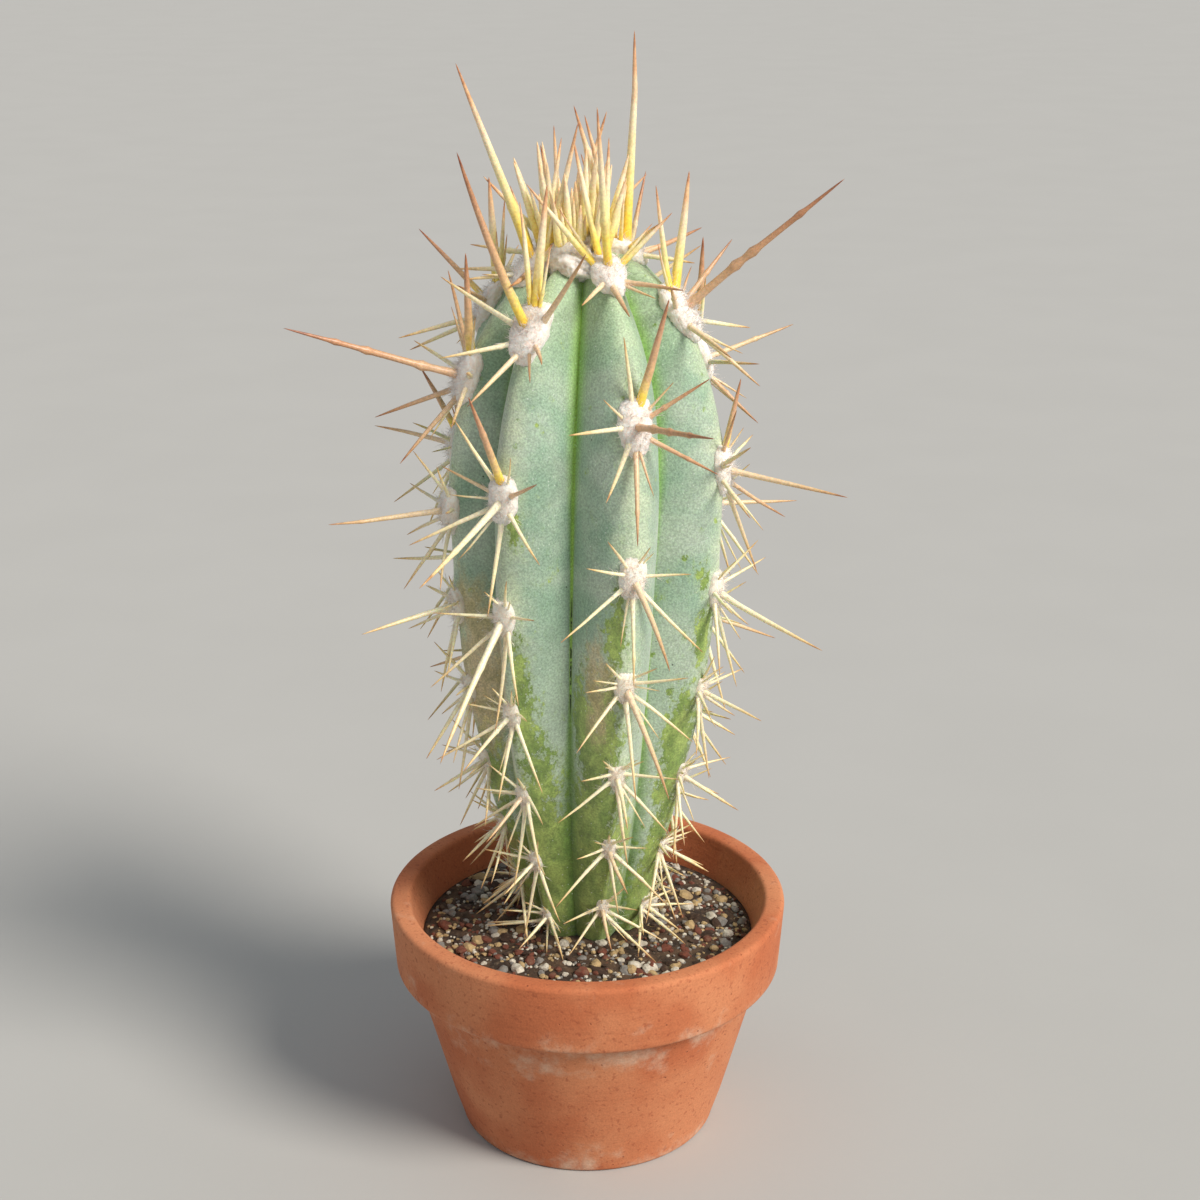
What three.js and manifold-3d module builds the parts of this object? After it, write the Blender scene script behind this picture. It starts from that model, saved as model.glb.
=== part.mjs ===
// A young toothpick cactus in a low clay pot: a club-shaped stem with eight ribs, woolly
// areoles along every rib and stout spines, standing in gritty soil.
//
// Millimetres, +Z up. The plant's front faces -Y. An azimuth is measured from the front,
// growing towards +X. The part's origin is the centre of its bounding box, on the surface
// that the pot stands on.

import * as THREE from 'three';
import { mergeVertices } from 'three/addons/utils/BufferGeometryUtils.js';
import Module from 'manifold-3d';

const wasm = await Module();
wasm.setup();

// Gap kept between two pieces that touch.
const CLEARANCE = 0.3;

// Pot
const POT_HEIGHT = 58;
const POT_FOOT_RADIUS = 31;
const POT_BODY_RADIUS = 42;
const POT_RIM_RADIUS = 47;
const POT_RIM_FLARE = 1;
const POT_RIM_DEPTH = 17;
const POT_WALL = 4.5;
const POT_FLOOR = 5;
const POT_EDGE = 1.2;
const POT_DRAIN_RADIUS = 6;
const POT_SIDES = 56;

// Soil
const SOIL_LEVEL = 51;
const SOIL_FALL = 2.5;
const SOIL_GRIT = 0.9;
const SOIL_RINGS = 7;
const SOIL_SIDES = 40;

// Stem, with heights above the soil
const FOOT_RADIUS = 12.5;
const SHOULDER_RADIUS = 31.5;
const SHOULDER_HEIGHT = 110;
const CROWN_HEIGHT = 162;
const CROWN_DIP = 2.5;
const CROWN_DIP_RADIUS = 11;
const ROOTED_DEPTH = 9;
const ROOTED_RADIUS = 10;

// Grooves between the ribs: their depth at the foot, and from the full height up. The ribs
// twist a little on their way up, in degrees a millimetre.
const FOOT_GROOVE = 2;
const RIB_GROOVE = 10;
const GROOVE_FULL_HEIGHT = 100;
const GROOVE_CROWN_FADE = 0.6;
const RIB_TWIST = 0.06;

// The stem's mesh: columns across a rib from groove to groove, and rows up it.
const RIB_PHASES = [-1, -0.8, -0.4, 0, 0.4, 0.8];
const BODY_ROWS = 11;
const DOME_ROWS = 8;

// Share of a rib, from foot to crown, that lies below the shoulder.
const BODY_SHARE = 0.64;

// Ribs, going round from the plant's left. Each has its azimuth, and its areoles' ranks: the
// first one's and the step between two. A rank of 0 is at the crown and 6 at the foot.
// Leaders are the stoutest spine of each areole from the crown down, as the turn away from
// the rib's azimuth, the rise above level and the length. Further ones follow the rule.
const RIBS = [
  {
    azimuth: -72,
    first: 0,
    step: 0.81,
    leaders: [[12, 68, 46], [2, 19, 41], [2, -1, 27], [16, -5, 24], [15, -52, 19]],
  },
  { azimuth: -37, first: 0.47, step: 0.94, leaders: [[-4, 63, 44], [9, -16, 34], [10, -40, 36]] },
  {
    azimuth: 16,
    first: 0.02,
    step: 0.97,
    leaders: [[-29, 73, 37], [10, 10, 34], [0, -23, 28], [6, -34, 29]],
  },
  {
    azimuth: 66,
    first: 0.41,
    step: 0.94,
    leaders: [[8, 41, 45], [3, -7, 28], [-9, -18, 28], [-14, -11, 17]],
  },
  { azimuth: 112, first: -0.1, step: 0.97, leaders: [[-21, 88, 46], [0, 15, 24], [0, -5, 22]] },
  { azimuth: 156, first: 0.5, step: 0.93, leaders: [[0, 60, 30]] },
  { azimuth: 200, first: 0, step: 0.97, leaders: [[0, 80, 27]] },
  { azimuth: 244, first: 0.46, step: 0.92, leaders: [[-5, 38, 24], [0, 5, 22], [0, -10, 20]] },
];
const LAST_RANK = 6.2;

// How far down its rib a rank lies, as a share of the rib. Steps shorten towards the foot.
const RANK_START = 0.09;
const RANK_STEP = 0.195;
const RANK_SHORTENING = 0.0085;

// Areoles: oval woolly pads, which swell to their full size near the crown and shrink with age
const PAD_HALF_WIDTH = 4.9;
const PAD_HALF_HEIGHT = 7.8;
const PAD_HALF_DEPTH = 3.3;
const PAD_FIRST_SCALE = 0.78;
const PAD_GROWTH = 0.5;
const PAD_AGING = 0.29;
const PAD_FLATTENING = 0.95;

// Spines
const SPINE_SIDES = 3;
const SPINE_ROOT = 1.2;
const SPINE_ABOVE_SOIL = 2;
const SPINE_ABOVE_SKIN = 0.5;

// Leaders that no entry notes go from the crown's rise and length to the foot's, each with a
// little unevenness.
const LEADER_CROWN_RISE = 85;
const LEADER_FOOT_RISE = -30;
const LEADER_RISE_FALL = 0.83;
const LEADER_CROWN_LENGTH = 46;
const LEADER_FOOT_LENGTH = 8;
const LEADER_LENGTH_FALL = 0.42;
const LEADER_TURN_SPREAD = 12;
const LEADER_RISE_SPREAD = 8;
const LEADER_LENGTH_SPREAD = 2;
const LEADER_SLIMMEST = 0.45;
const LEADER_TAPER = 0.016;

// Radial spines lie round their areole like a clock's hours, lifted off the skin, and start
// some way out from the pad's middle towards its edge. The upper ones of a young areole are
// longer and stand up. On an old areole the lower ones are longer and the upper ones shorter.
const RADIAL_SPINES = 7;
const RADIAL_LENGTH = 16;
const RADIAL_AGING = 0.1;
const RADIAL_LIFT = 27;
const RADIAL_LIFT_SPREAD = 0.5;
const RADIAL_CLOCK_SPREAD = 14;
const RADIAL_SLIMMEST = 0.3;
const RADIAL_TAPER = 0.014;
const RADIAL_UNEVENNESS = 0.25;
const YOUNG_UPPER_GAIN = 0.8;
const YOUNG_UPPER_RISE = 1.2;
const OLD_LOWER_GAIN = 0.65;
const OLD_UPPER_LOSS = 0.3;
const OLD_RANK = 2;
const RADIAL_PLACE = 0.5;
const RADIAL_ROOT = 0.6;

// Between two ranks near the crown, an areole's first radial is bold: it is stout and stands
// nearly straight up its rib. From a rank on it is also longer.
const BOLD_FIRST_RANK = 0.3;
const BOLD_LONG_RANK = 0.7;
const BOLD_LAST_RANK = 1.6;
const BOLD_PLACE = 0.2;
const BOLD_LENGTH = 1.35;
const BOLD_STOUTNESS = 1.5;

// The crown's tuft of young spines, in a woolly cushion a little to the left of the top
const TUFT_SHIFT = 2.2;
const CUSHION_SCALE = 1.6;
const TUFT_SPINES = 30;
const TUFT_RADIUS = 7.5;
const TUFT_LENGTH = 18;
const TUFT_UNEVENNESS = 0.35;
const TUFT_THICKNESS = 1.1;
const TUFT_LEAN = 2.2;
const TUFT_RISE_SPREAD = 4;
const GOLDEN_ANGLE = 137.5;

// Repeatable draws, for a whole number: one from 0 to 1, the other from -1 to 1.
function draw(number) {
  const wave = Math.sin(number * 12.9898 + 4.1414) * 43758.5453;
  return wave - Math.floor(wave);
}

function spread(number) {
  return 2 * draw(number) - 1;
}

function mix(from, to, share) {
  return from + share * (to - from);
}

const radians = THREE.MathUtils.degToRad;

// Unit vector with an azimuth and a rise above level, in degrees.
function heading(azimuth, rise) {
  const level = Math.cos(radians(rise));
  const east = level * Math.sin(radians(azimuth));
  const south = level * Math.cos(radians(azimuth));
  return new THREE.Vector3(east, -south, Math.sin(radians(rise)));
}

// Joining

function solidOf(geometry) {
  const bare = geometry.clone();
  bare.deleteAttribute('normal');
  bare.deleteAttribute('uv');
  const merged = mergeVertices(bare, 1e-4);
  return new wasm.Manifold(new wasm.Mesh({
    numProp: 3,
    vertProperties: new Float32Array(merged.attributes.position.array),
    triVerts: new Uint32Array(merged.index.array),
  }));
}

function geometryOf(solid) {
  const mesh = solid.getMesh();
  const geometry = new THREE.BufferGeometry();
  geometry.setAttribute('position', new THREE.BufferAttribute(mesh.vertProperties, 3));
  geometry.setIndex(new THREE.BufferAttribute(mesh.triVerts, 1));
  geometry.computeVertexNormals();
  return geometry;
}

// A solid turned about +Z from [radius, height] pairs. Each vertex can be moved by its place
// in the outline and its side.
function turned(outline, sides, move = null) {
  const profile = outline.map(([radius, height]) => new THREE.Vector2(radius, height));
  const geometry = new THREE.LatheGeometry(profile, sides);
  geometry.rotateX(Math.PI / 2);
  if (move) {
    const places = geometry.attributes.position;
    for (let index = 0; index < places.count; index += 1) {
      const side = Math.floor(index / outline.length) % sides;
      const place = new THREE.Vector3().fromBufferAttribute(places, index);
      const moved = move(index % outline.length, side, place);
      places.setXYZ(index, moved.x, moved.y, moved.z);
    }
    geometry.computeVertexNormals();
  }
  return geometry;
}

// Pot: a turned wall with a thicker band at the rim and a drain hole in the floor.

const POT_BAND_FOOT = POT_HEIGHT - POT_RIM_DEPTH;

function potInnerRadius(height) {
  return mix(POT_FOOT_RADIUS, POT_BODY_RADIUS, height / POT_BAND_FOOT) - POT_WALL;
}

function makePot() {
  const bandRadius = POT_RIM_RADIUS - POT_RIM_FLARE;
  const outline = [
    [POT_DRAIN_RADIUS, 0],
    [POT_FOOT_RADIUS - POT_EDGE, 0],
    [POT_FOOT_RADIUS, POT_EDGE],
    [POT_BODY_RADIUS, POT_BAND_FOOT],
    [bandRadius - POT_EDGE, POT_BAND_FOOT],
    [bandRadius, POT_BAND_FOOT + POT_EDGE],
    [POT_RIM_RADIUS, POT_HEIGHT - 2 * POT_EDGE],
    [POT_RIM_RADIUS - POT_EDGE / 2, POT_HEIGHT - POT_EDGE / 2],
    [POT_RIM_RADIUS - 2 * POT_EDGE, POT_HEIGHT],
    [potInnerRadius(POT_HEIGHT) + POT_EDGE, POT_HEIGHT],
    [potInnerRadius(POT_HEIGHT - POT_EDGE), POT_HEIGHT - POT_EDGE],
    [potInnerRadius(POT_FLOOR), POT_FLOOR],
    [POT_DRAIN_RADIUS, POT_FLOOR],
    [POT_DRAIN_RADIUS, 0],
  ];
  return turned(outline, POT_SIDES);
}

// Soil: fills the pot to a rough top that falls away from the stem, with a plain round hole
// that the stem's foot stands in.

function makeSoil() {
  const holeRadius = FOOT_RADIUS + 3 * CLEARANCE;
  const wallRadius = potInnerRadius(SOIL_LEVEL - SOIL_FALL) - CLEARANCE;
  const bottom = POT_FLOOR + CLEARANCE;
  const holeFloor = SOIL_LEVEL - ROOTED_DEPTH - CLEARANCE;
  const outline = [[0, bottom], [potInnerRadius(bottom) - CLEARANCE, bottom]];
  const firstRing = outline.length;
  for (let ring = 0; ring <= SOIL_RINGS; ring += 1) {
    const share = 1 - ring / SOIL_RINGS;
    outline.push([mix(holeRadius, wallRadius, share), SOIL_LEVEL - SOIL_FALL * share * share]);
  }
  const lastRing = outline.length - 1;
  outline.push([holeRadius, holeFloor], [0, holeFloor]);
  return turned(outline, SOIL_SIDES, (ring, side, place) => {
    if (ring > firstRing && ring < lastRing) {
      place.z += SOIL_GRIT * spread(ring * SOIL_SIDES + side);
    }
    return place;
  });
}

// Stem: ribs as rounded lobes with grooves between them. A level runs from 0 at the soil to
// 1 at the crown's centre, and a phase from -1 to 1 across a rib, from groove to groove.

function crestAt(level) {
  if (level < BODY_SHARE) {
    const climb = (level / BODY_SHARE) * (Math.PI / 2);
    const height = SHOULDER_HEIGHT * (level / BODY_SHARE);
    const swell = SHOULDER_RADIUS - FOOT_RADIUS;
    const slope = (swell * Math.cos(climb) * Math.PI) / 2 / SHOULDER_HEIGHT;
    return { radius: FOOT_RADIUS + swell * Math.sin(climb), height, tilt: -Math.atan(slope) };
  }
  const arc = ((level - BODY_SHARE) / (1 - BODY_SHARE)) * (Math.PI / 2);
  const dome = CROWN_HEIGHT - SHOULDER_HEIGHT;
  const radius = SHOULDER_RADIUS * Math.cos(arc);
  const dip = CROWN_DIP * Math.max(0, 1 - radius / CROWN_DIP_RADIUS) ** 2;
  const tilt = Math.atan2(SHOULDER_RADIUS * Math.sin(arc), dome * Math.cos(arc));
  return { radius, height: SHOULDER_HEIGHT + dome * Math.sin(arc) - dip, tilt };
}

// How far the groove between two ribs lies in from their crests.
function grooveDepth(level) {
  if (level < BODY_SHARE) {
    const height = SHOULDER_HEIGHT * (level / BODY_SHARE);
    return mix(FOOT_GROOVE, RIB_GROOVE, THREE.MathUtils.smoothstep(height, 0, GROOVE_FULL_HEIGHT));
  }
  const arc = ((level - BODY_SHARE) / (1 - BODY_SHARE)) * (Math.PI / 2);
  return RIB_GROOVE * Math.max(0, Math.cos(arc)) ** GROOVE_CROWN_FADE;
}

// The azimuth across a rib, with the slight twist that the ribs make on their way up.
function ribAzimuth(rib, phase, height) {
  const here = RIBS[rib].azimuth;
  const step = phase < 0 ? -1 : 1;
  const beside = RIBS[(rib + step + RIBS.length) % RIBS.length].azimuth;
  const gap = THREE.MathUtils.euclideanModulo(step * (beside - here), 360) / 2;
  return here + phase * gap + RIB_TWIST * (height - SHOULDER_HEIGHT / 2);
}

// A point on the stem's skin, and the unit vector that points out of it on the crest there.
function skinAt(rib, phase, level) {
  const crest = crestAt(level);
  const azimuth = ribAzimuth(rib, phase, crest.height);
  const sunk = grooveDepth(level) * (1 - Math.cos((phase * Math.PI) / 2));
  const outward = heading(azimuth, THREE.MathUtils.radToDeg(crest.tilt));
  const place = heading(azimuth, 0).multiplyScalar(crest.radius);
  place.z = SOIL_LEVEL + crest.height;
  return { place: place.addScaledVector(outward, -sunk), outward, azimuth };
}

function makeStem() {
  const rooted = SOIL_LEVEL - ROOTED_DEPTH;
  const levels = [];
  for (let row = 0; row < BODY_ROWS; row += 1) {
    levels.push((BODY_SHARE * row) / BODY_ROWS);
  }
  for (let row = 0; row <= DOME_ROWS; row += 1) {
    levels.push(mix(BODY_SHARE, 1, row / DOME_ROWS));
  }
  const outline = [[0, rooted], [ROOTED_RADIUS, rooted]];
  const first = outline.length;
  for (const level of levels) {
    const crest = crestAt(level);
    outline.push([level === 1 ? 0 : crest.radius, SOIL_LEVEL + crest.height]);
  }
  return turned(outline, RIBS.length * RIB_PHASES.length, (row, side, place) => {
    const rib = Math.floor(side / RIB_PHASES.length);
    const phase = RIB_PHASES[side % RIB_PHASES.length];
    if (row === 0 || row === outline.length - 1) {
      return place;
    }
    if (row < first) {
      const foot = skinAt(rib, phase, 0);
      return heading(foot.azimuth, 0).multiplyScalar(ROOTED_RADIUS).setZ(rooted);
    }
    return skinAt(rib, phase, levels[row - first]).place;
  });
}

// Areoles and spines

// Where an areole of a rank sits: out of the skin, up along the rib and sideways.
function areoleFrame(rib, rank) {
  const level = 1 - (RANK_START + RANK_STEP * rank - RANK_SHORTENING * rank * rank);
  const { place, outward, azimuth } = skinAt(rib, 0, level);
  const side = heading(azimuth + 90, 0);
  const up = new THREE.Vector3().crossVectors(outward, side);
  return { place, outward, up, side, azimuth };
}

function padScale(rank) {
  return Math.min(1, PAD_FIRST_SCALE + PAD_GROWTH * rank) / (1 + PAD_AGING * Math.max(0, rank));
}

function padAt(frame, scale) {
  const geometry = new THREE.IcosahedronGeometry(1, 0);
  const depth = PAD_HALF_DEPTH * mix(1, scale, PAD_FLATTENING);
  geometry.scale(PAD_HALF_WIDTH * scale, PAD_HALF_HEIGHT * scale, depth);
  const turn = new THREE.Matrix4().makeBasis(frame.side, frame.up, frame.outward);
  geometry.applyMatrix4(turn.setPosition(frame.place));
  return solidOf(geometry);
}

// A spine from a root, bent up where it would run into the soil.
function spineAt(root, direction, length, radius) {
  const lowest = (SOIL_LEVEL + SPINE_ABOVE_SOIL - root.z) / length;
  if (direction.z < lowest) {
    direction.setZ(0).setLength(Math.sqrt(1 - lowest * lowest)).setZ(lowest);
  }
  const geometry = new THREE.ConeGeometry(radius, length + SPINE_ROOT, SPINE_SIDES);
  geometry.translate(0, (length - SPINE_ROOT) / 2, 0);
  const turn = new THREE.Quaternion().setFromUnitVectors(new THREE.Vector3(0, 1, 0), direction);
  geometry.applyQuaternion(turn);
  geometry.translate(root.x, root.y, root.z);
  return solidOf(geometry);
}

// The leader of an areole that no entry notes: erect at the crown, drooping lower down.
function leaderRule(rank, seed) {
  const turn = LEADER_TURN_SPREAD * spread(seed + 1);
  const upright = Math.exp(-LEADER_RISE_FALL * rank * rank);
  const rise = mix(LEADER_FOOT_RISE, LEADER_CROWN_RISE, upright) + LEADER_RISE_SPREAD * spread(seed);
  const long = Math.exp(-LEADER_LENGTH_FALL * rank);
  const length = mix(LEADER_FOOT_LENGTH, LEADER_CROWN_LENGTH, long);
  return [turn, rise, length + LEADER_LENGTH_SPREAD * spread(seed + 2)];
}

// One areole: its pad, its leader and the ring of radial spines round it.
function growAreole(rib, order) {
  const { azimuth, first, step, leaders } = RIBS[rib];
  const rank = first + step * order;
  const seed = 1000 * rib + 50 * order;
  const frame = areoleFrame(rib, rank);
  const scale = padScale(rank);
  const grown = [padAt(frame, scale)];
  const [turn, rise, reach] = leaders[order] ?? leaderRule(rank, seed);
  const youth = Math.max(0, 1 - rank / OLD_RANK);
  const root = frame.place.clone().addScaledVector(frame.outward, SPINE_ABOVE_SKIN);
  grown.push(spineAt(root, heading(azimuth + turn, rise), reach, LEADER_SLIMMEST + LEADER_TAPER * reach));
  for (let spine = 0; spine < RADIAL_SPINES; spine += 1) {
    const own = seed + 5 * spine;
    const bold = spine === 0 && rank > BOLD_FIRST_RANK && rank < BOLD_LAST_RANK;
    const place = (spine + (bold ? BOLD_PLACE : RADIAL_PLACE)) / RADIAL_SPINES;
    const clock = radians(360 * place + RADIAL_CLOCK_SPREAD * spread(own + 3));
    const lift = radians(RADIAL_LIFT * (1 + RADIAL_LIFT_SPREAD * spread(own + 4)));
    const high = Math.max(0, Math.cos(clock));
    const low = Math.max(0, -Math.cos(clock));
    const upper = youth * high;
    const gain = YOUNG_UPPER_GAIN * upper + (1 - youth) * (OLD_LOWER_GAIN * low - OLD_UPPER_LOSS * high);
    const aged = RADIAL_LENGTH / (1 + RADIAL_AGING * rank);
    const longer = bold && rank > BOLD_LONG_RANK ? BOLD_LENGTH : 1;
    const length = aged * longer * (1 + RADIAL_UNEVENNESS * spread(own + 5) + gain);
    const stout = bold ? BOLD_STOUTNESS : 1;
    const direction = new THREE.Vector3()
      .addScaledVector(frame.up, Math.cos(clock) * Math.cos(lift))
      .addScaledVector(frame.side, Math.sin(clock) * Math.cos(lift))
      .addScaledVector(frame.outward, Math.sin(lift));
    direction.z += YOUNG_UPPER_RISE * upper;
    const radius = stout * (RADIAL_SLIMMEST + RADIAL_TAPER * length);
    const start = root.clone()
      .addScaledVector(frame.up, Math.cos(clock) * RADIAL_ROOT * PAD_HALF_HEIGHT * scale)
      .addScaledVector(frame.side, Math.sin(clock) * RADIAL_ROOT * PAD_HALF_WIDTH * scale);
    grown.push(spineAt(start, direction.normalize(), length, radius));
  }
  return grown;
}

// The crown: a woolly cushion with the youngest spines standing in it.
function growCrown() {
  const centre = new THREE.Vector3(-TUFT_SHIFT, 0, skinAt(0, 0, 1).place.z);
  const level = { place: centre, outward: heading(0, 90), up: heading(180, 0), side: heading(90, 0) };
  const grown = [padAt(level, CUSHION_SCALE)];
  for (let spine = 0; spine < TUFT_SPINES; spine += 1) {
    const out = TUFT_RADIUS * Math.sqrt((spine + 0.5) / TUFT_SPINES);
    const azimuth = GOLDEN_ANGLE * spine;
    const root = heading(azimuth, 0).multiplyScalar(out).add(centre);
    const rise = 90 - TUFT_LEAN * out + TUFT_RISE_SPREAD * spread(spine + 7);
    const length = TUFT_LENGTH * (1 + TUFT_UNEVENNESS * spread(spine + 9));
    grown.push(spineAt(root, heading(azimuth, rise), length, TUFT_THICKNESS));
  }
  return grown;
}

function makeCactus() {
  const grown = growCrown();
  for (let rib = 0; rib < RIBS.length; rib += 1) {
    const { first, step } = RIBS[rib];
    for (let order = 0; first + step * order < LAST_RANK; order += 1) {
      grown.push(...growAreole(rib, order));
    }
  }
  return geometryOf(grown.reduce((whole, piece) => whole.add(piece), solidOf(makeStem())));
}

// The assembly

const clay = new THREE.MeshStandardMaterial({ color: 0xb5643c, roughness: 0.9, metalness: 0 });
const earth = new THREE.MeshStandardMaterial({ color: 0x4a3728, roughness: 1, metalness: 0 });
const skin = new THREE.MeshStandardMaterial({ color: 0x8fae8c, roughness: 0.6, metalness: 0 });

const plant = new THREE.Group();
for (const [name, geometry, material] of [
  ['pot', makePot(), clay],
  ['soil', makeSoil(), earth],
  ['cactus', makeCactus(), skin],
]) {
  const piece = new THREE.Mesh(geometry, material);
  piece.name = name;
  plant.add(piece);
}

// The spines reach further on some sides than on others, so the pot's axis lies a little off
// the centre of the bounding box.
const box = new THREE.Box3().setFromObject(plant, true);
const middle = box.getCenter(new THREE.Vector3());
plant.position.set(-middle.x, -middle.y, 0);

const group = new THREE.Group();
group.add(plant);

export default group;
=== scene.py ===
"""A potted toothpick cactus: its finer pieces, their finishes, the light and the camera.

Sizes are in millimetres, and every mesh is made in metres, in the model's own frame. An
azimuth is measured from the plant's front, -Y, and grows towards +X. Heights on the plant
start at the top of the soil.
"""

import logging
import math
from dataclasses import dataclass, field
from enum import Enum
from typing import Any

import bmesh
import bpy
import numpy as np
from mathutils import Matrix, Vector, noise


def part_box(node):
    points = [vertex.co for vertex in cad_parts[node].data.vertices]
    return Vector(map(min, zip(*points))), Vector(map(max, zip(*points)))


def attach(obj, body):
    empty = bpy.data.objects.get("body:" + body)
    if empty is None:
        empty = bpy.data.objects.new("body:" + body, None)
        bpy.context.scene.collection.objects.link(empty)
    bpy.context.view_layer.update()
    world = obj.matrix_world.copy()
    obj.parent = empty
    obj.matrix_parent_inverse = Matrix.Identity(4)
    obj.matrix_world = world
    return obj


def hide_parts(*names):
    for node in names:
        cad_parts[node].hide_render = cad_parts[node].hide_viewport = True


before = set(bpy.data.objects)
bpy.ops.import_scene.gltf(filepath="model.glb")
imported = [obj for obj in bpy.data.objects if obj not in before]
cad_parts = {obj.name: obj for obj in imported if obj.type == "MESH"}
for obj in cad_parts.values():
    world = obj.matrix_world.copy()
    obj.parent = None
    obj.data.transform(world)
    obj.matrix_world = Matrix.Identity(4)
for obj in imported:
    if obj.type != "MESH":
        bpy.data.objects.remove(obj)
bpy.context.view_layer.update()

LOG = logging.getLogger("cactus")
MM = 0.001
Array = np.ndarray
Socket = bpy.types.NodeSocket
UP = np.array([0.0, 0.0, 1.0])


# Numbers and directions


def draw(number: float) -> float:
    """Gives a repeatable value from 0 to 1 for a number."""
    wave = math.sin(number * 12.9898 + 4.1414) * 43758.5453
    return wave - math.floor(wave)


def spread(number: float) -> float:
    """Gives a repeatable value from -1 to 1 for a number."""
    return 2 * draw(number) - 1


def mix(start: Any, end: Any, share: Any) -> Any:
    """Goes a share of the way from one value to another."""
    return start + share * (end - start)


def bell(value: Any, width: Any) -> Any:
    """Falls smoothly from 1 at a value of 0 to about a third at the width."""
    return np.exp(-((value / width) ** 2))


def ease(value: Any, low: float, high: float) -> Any:
    """Rises smoothly from 0 at the low value to 1 at the high one, and holds outside."""
    share = np.clip((value - low) / (high - low), 0, 1)
    return share * share * (3 - 2 * share)


def heading(azimuth: Any, rise: Any = 0.0) -> Array:
    """Turns an azimuth and a rise above level into a direction.

    Args:
        azimuth: Degrees round from the plant's front, as a number or an array.
        rise: Degrees above level.

    Returns:
        Unit vectors, in the last axis.
    """
    round_, above = np.broadcast_arrays(np.radians(azimuth), np.radians(rise))
    level = np.cos(above)
    return np.stack([level * np.sin(round_), -level * np.cos(round_), np.sin(above)], axis=-1)


def unit(vector: Array) -> Array:
    """Scales a vector to a length of 1."""
    return vector / np.linalg.norm(vector)


def across(direction: Array) -> tuple[Array, Array]:
    """Finds two directions square to a given one and to each other.

    Args:
        direction: A unit vector.

    Returns:
        The two unit vectors.
    """
    other = UP if abs(direction[2]) < 0.9 else np.array([1.0, 0.0, 0.0])
    first = unit(np.cross(direction, other))
    return first, np.cross(direction, first)


def lumps(places: Array, size: float, shift: float = 0.0) -> Array:
    """Samples smooth noise at many places.

    Args:
        places: Points in millimetres.
        size: Size of one lump in millimetres.
        shift: Moves the noise, for another draw of it.

    Returns:
        One value from about -1 to 1 for each point.
    """
    move = Vector((shift, 1.7 * shift, -0.6 * shift))
    return np.array([noise.noise(Vector(place) / size + move) for place in places])


# Meshes


@dataclass
class Gathered:
    """Many small meshes gathered into one, with a few values at each point."""

    places: list[Array] = field(default_factory=list)
    faces: list[list[int]] = field(default_factory=list)
    values: dict[str, list[Array]] = field(default_factory=dict)
    count: int = 0

    def add(self, places: Array, faces: Array | list, **values: Any) -> None:
        """Adds one mesh.

        Args:
            places: Its points in millimetres.
            faces: Its faces, as point numbers that start at 0.
            values: A number for all its points or an array of one each, by attribute name.
        """
        start = self.count
        if isinstance(faces, np.ndarray):
            self.faces.extend((faces + start).tolist())
        else:
            self.faces.extend([corner + start for corner in face] for face in faces)
        self.places.append(places)
        for name, value in values.items():
            self.values.setdefault(name, []).append(np.broadcast_to(value, len(places)))
        self.count += len(places)

    def piece(
        self, name: str, finish: bpy.types.Material, node: str, slot: str, smooth: bool = True
    ) -> bpy.types.Object:
        """Makes the piece that stands for a node.

        Args:
            name: The piece's name.
            finish: Its material.
            node: The node that it replaces.
            slot: The record's material slot. It is not used.
            smooth: Whether its faces are shaded smooth.

        Returns:
            The new object.
        """
        mesh = bpy.data.meshes.new(name)
        places = np.concatenate(self.places) * MM
        mesh.from_pydata(places.tolist(), [], self.faces)
        for attribute, values in self.values.items():
            layer = mesh.attributes.new(attribute, "FLOAT", "POINT")
            layer.data.foreach_set("value", np.concatenate(values).astype(np.float32))
        if smooth:
            mesh.shade_smooth()
        else:
            mesh.shade_flat()
        mesh.materials.append(finish)
        made = bpy.data.objects.new(name, mesh)
        bpy.context.scene.collection.objects.link(made)
        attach(made, "root")
        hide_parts(node)
        triangles = sum(len(face) - 2 for face in self.faces)
        LOG.info("%s: %d points, %d triangles", name, len(places), triangles)
        return made


def ball(divisions: int) -> tuple[Array, Array]:
    """Makes an even triangle mesh of a unit ball, to be pressed into lumps.

    Args:
        divisions: 1 for 20 triangles, and four times as many for each one more.

    Returns:
        Its points and its triangles.
    """
    made = bmesh.new()
    bmesh.ops.create_icosphere(made, subdivisions=divisions, radius=1.0)
    places = np.array([vertex.co[:] for vertex in made.verts])
    faces = np.array([[vertex.index for vertex in face.verts] for face in made.faces])
    made.free()
    return places, faces


def rings(rows: int, columns: int) -> Array:
    """Makes the faces between rings of points, row by row upwards.

    Args:
        rows: Number of rings.
        columns: Points in each ring.

    Returns:
        Quads that face outwards where the points go round from front to right.
    """
    row, column = np.meshgrid(np.arange(rows - 1), np.arange(columns), indexing="ij")
    beside = (column + 1) % columns
    low, high = row * columns, (row + 1) * columns
    corners = [low + column, low + beside, high + beside, high + column]
    return np.stack(corners, axis=-1).reshape(-1, 4)


def turned(outline: list[tuple[float, float]], sides: int) -> tuple[Array, Array]:
    """Turns a closed outline about the Z axis.

    Args:
        outline: (radius, height) pairs, anticlockwise with the radius to the right. Its last
            point joins its first.
        sides: Points round.

    Returns:
        The points, ring by ring, and the quads.
    """
    profile = np.array([*outline, outline[0]])
    round_ = heading(360 * np.arange(sides) / sides)
    places = profile[:, None, :1] * round_[None]
    places[..., 2] = profile[:, None, 1]
    faces = rings(len(profile), sides) % (len(outline) * sides)
    return places[:-1].reshape(-1, 3), faces


# Finishes


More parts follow.
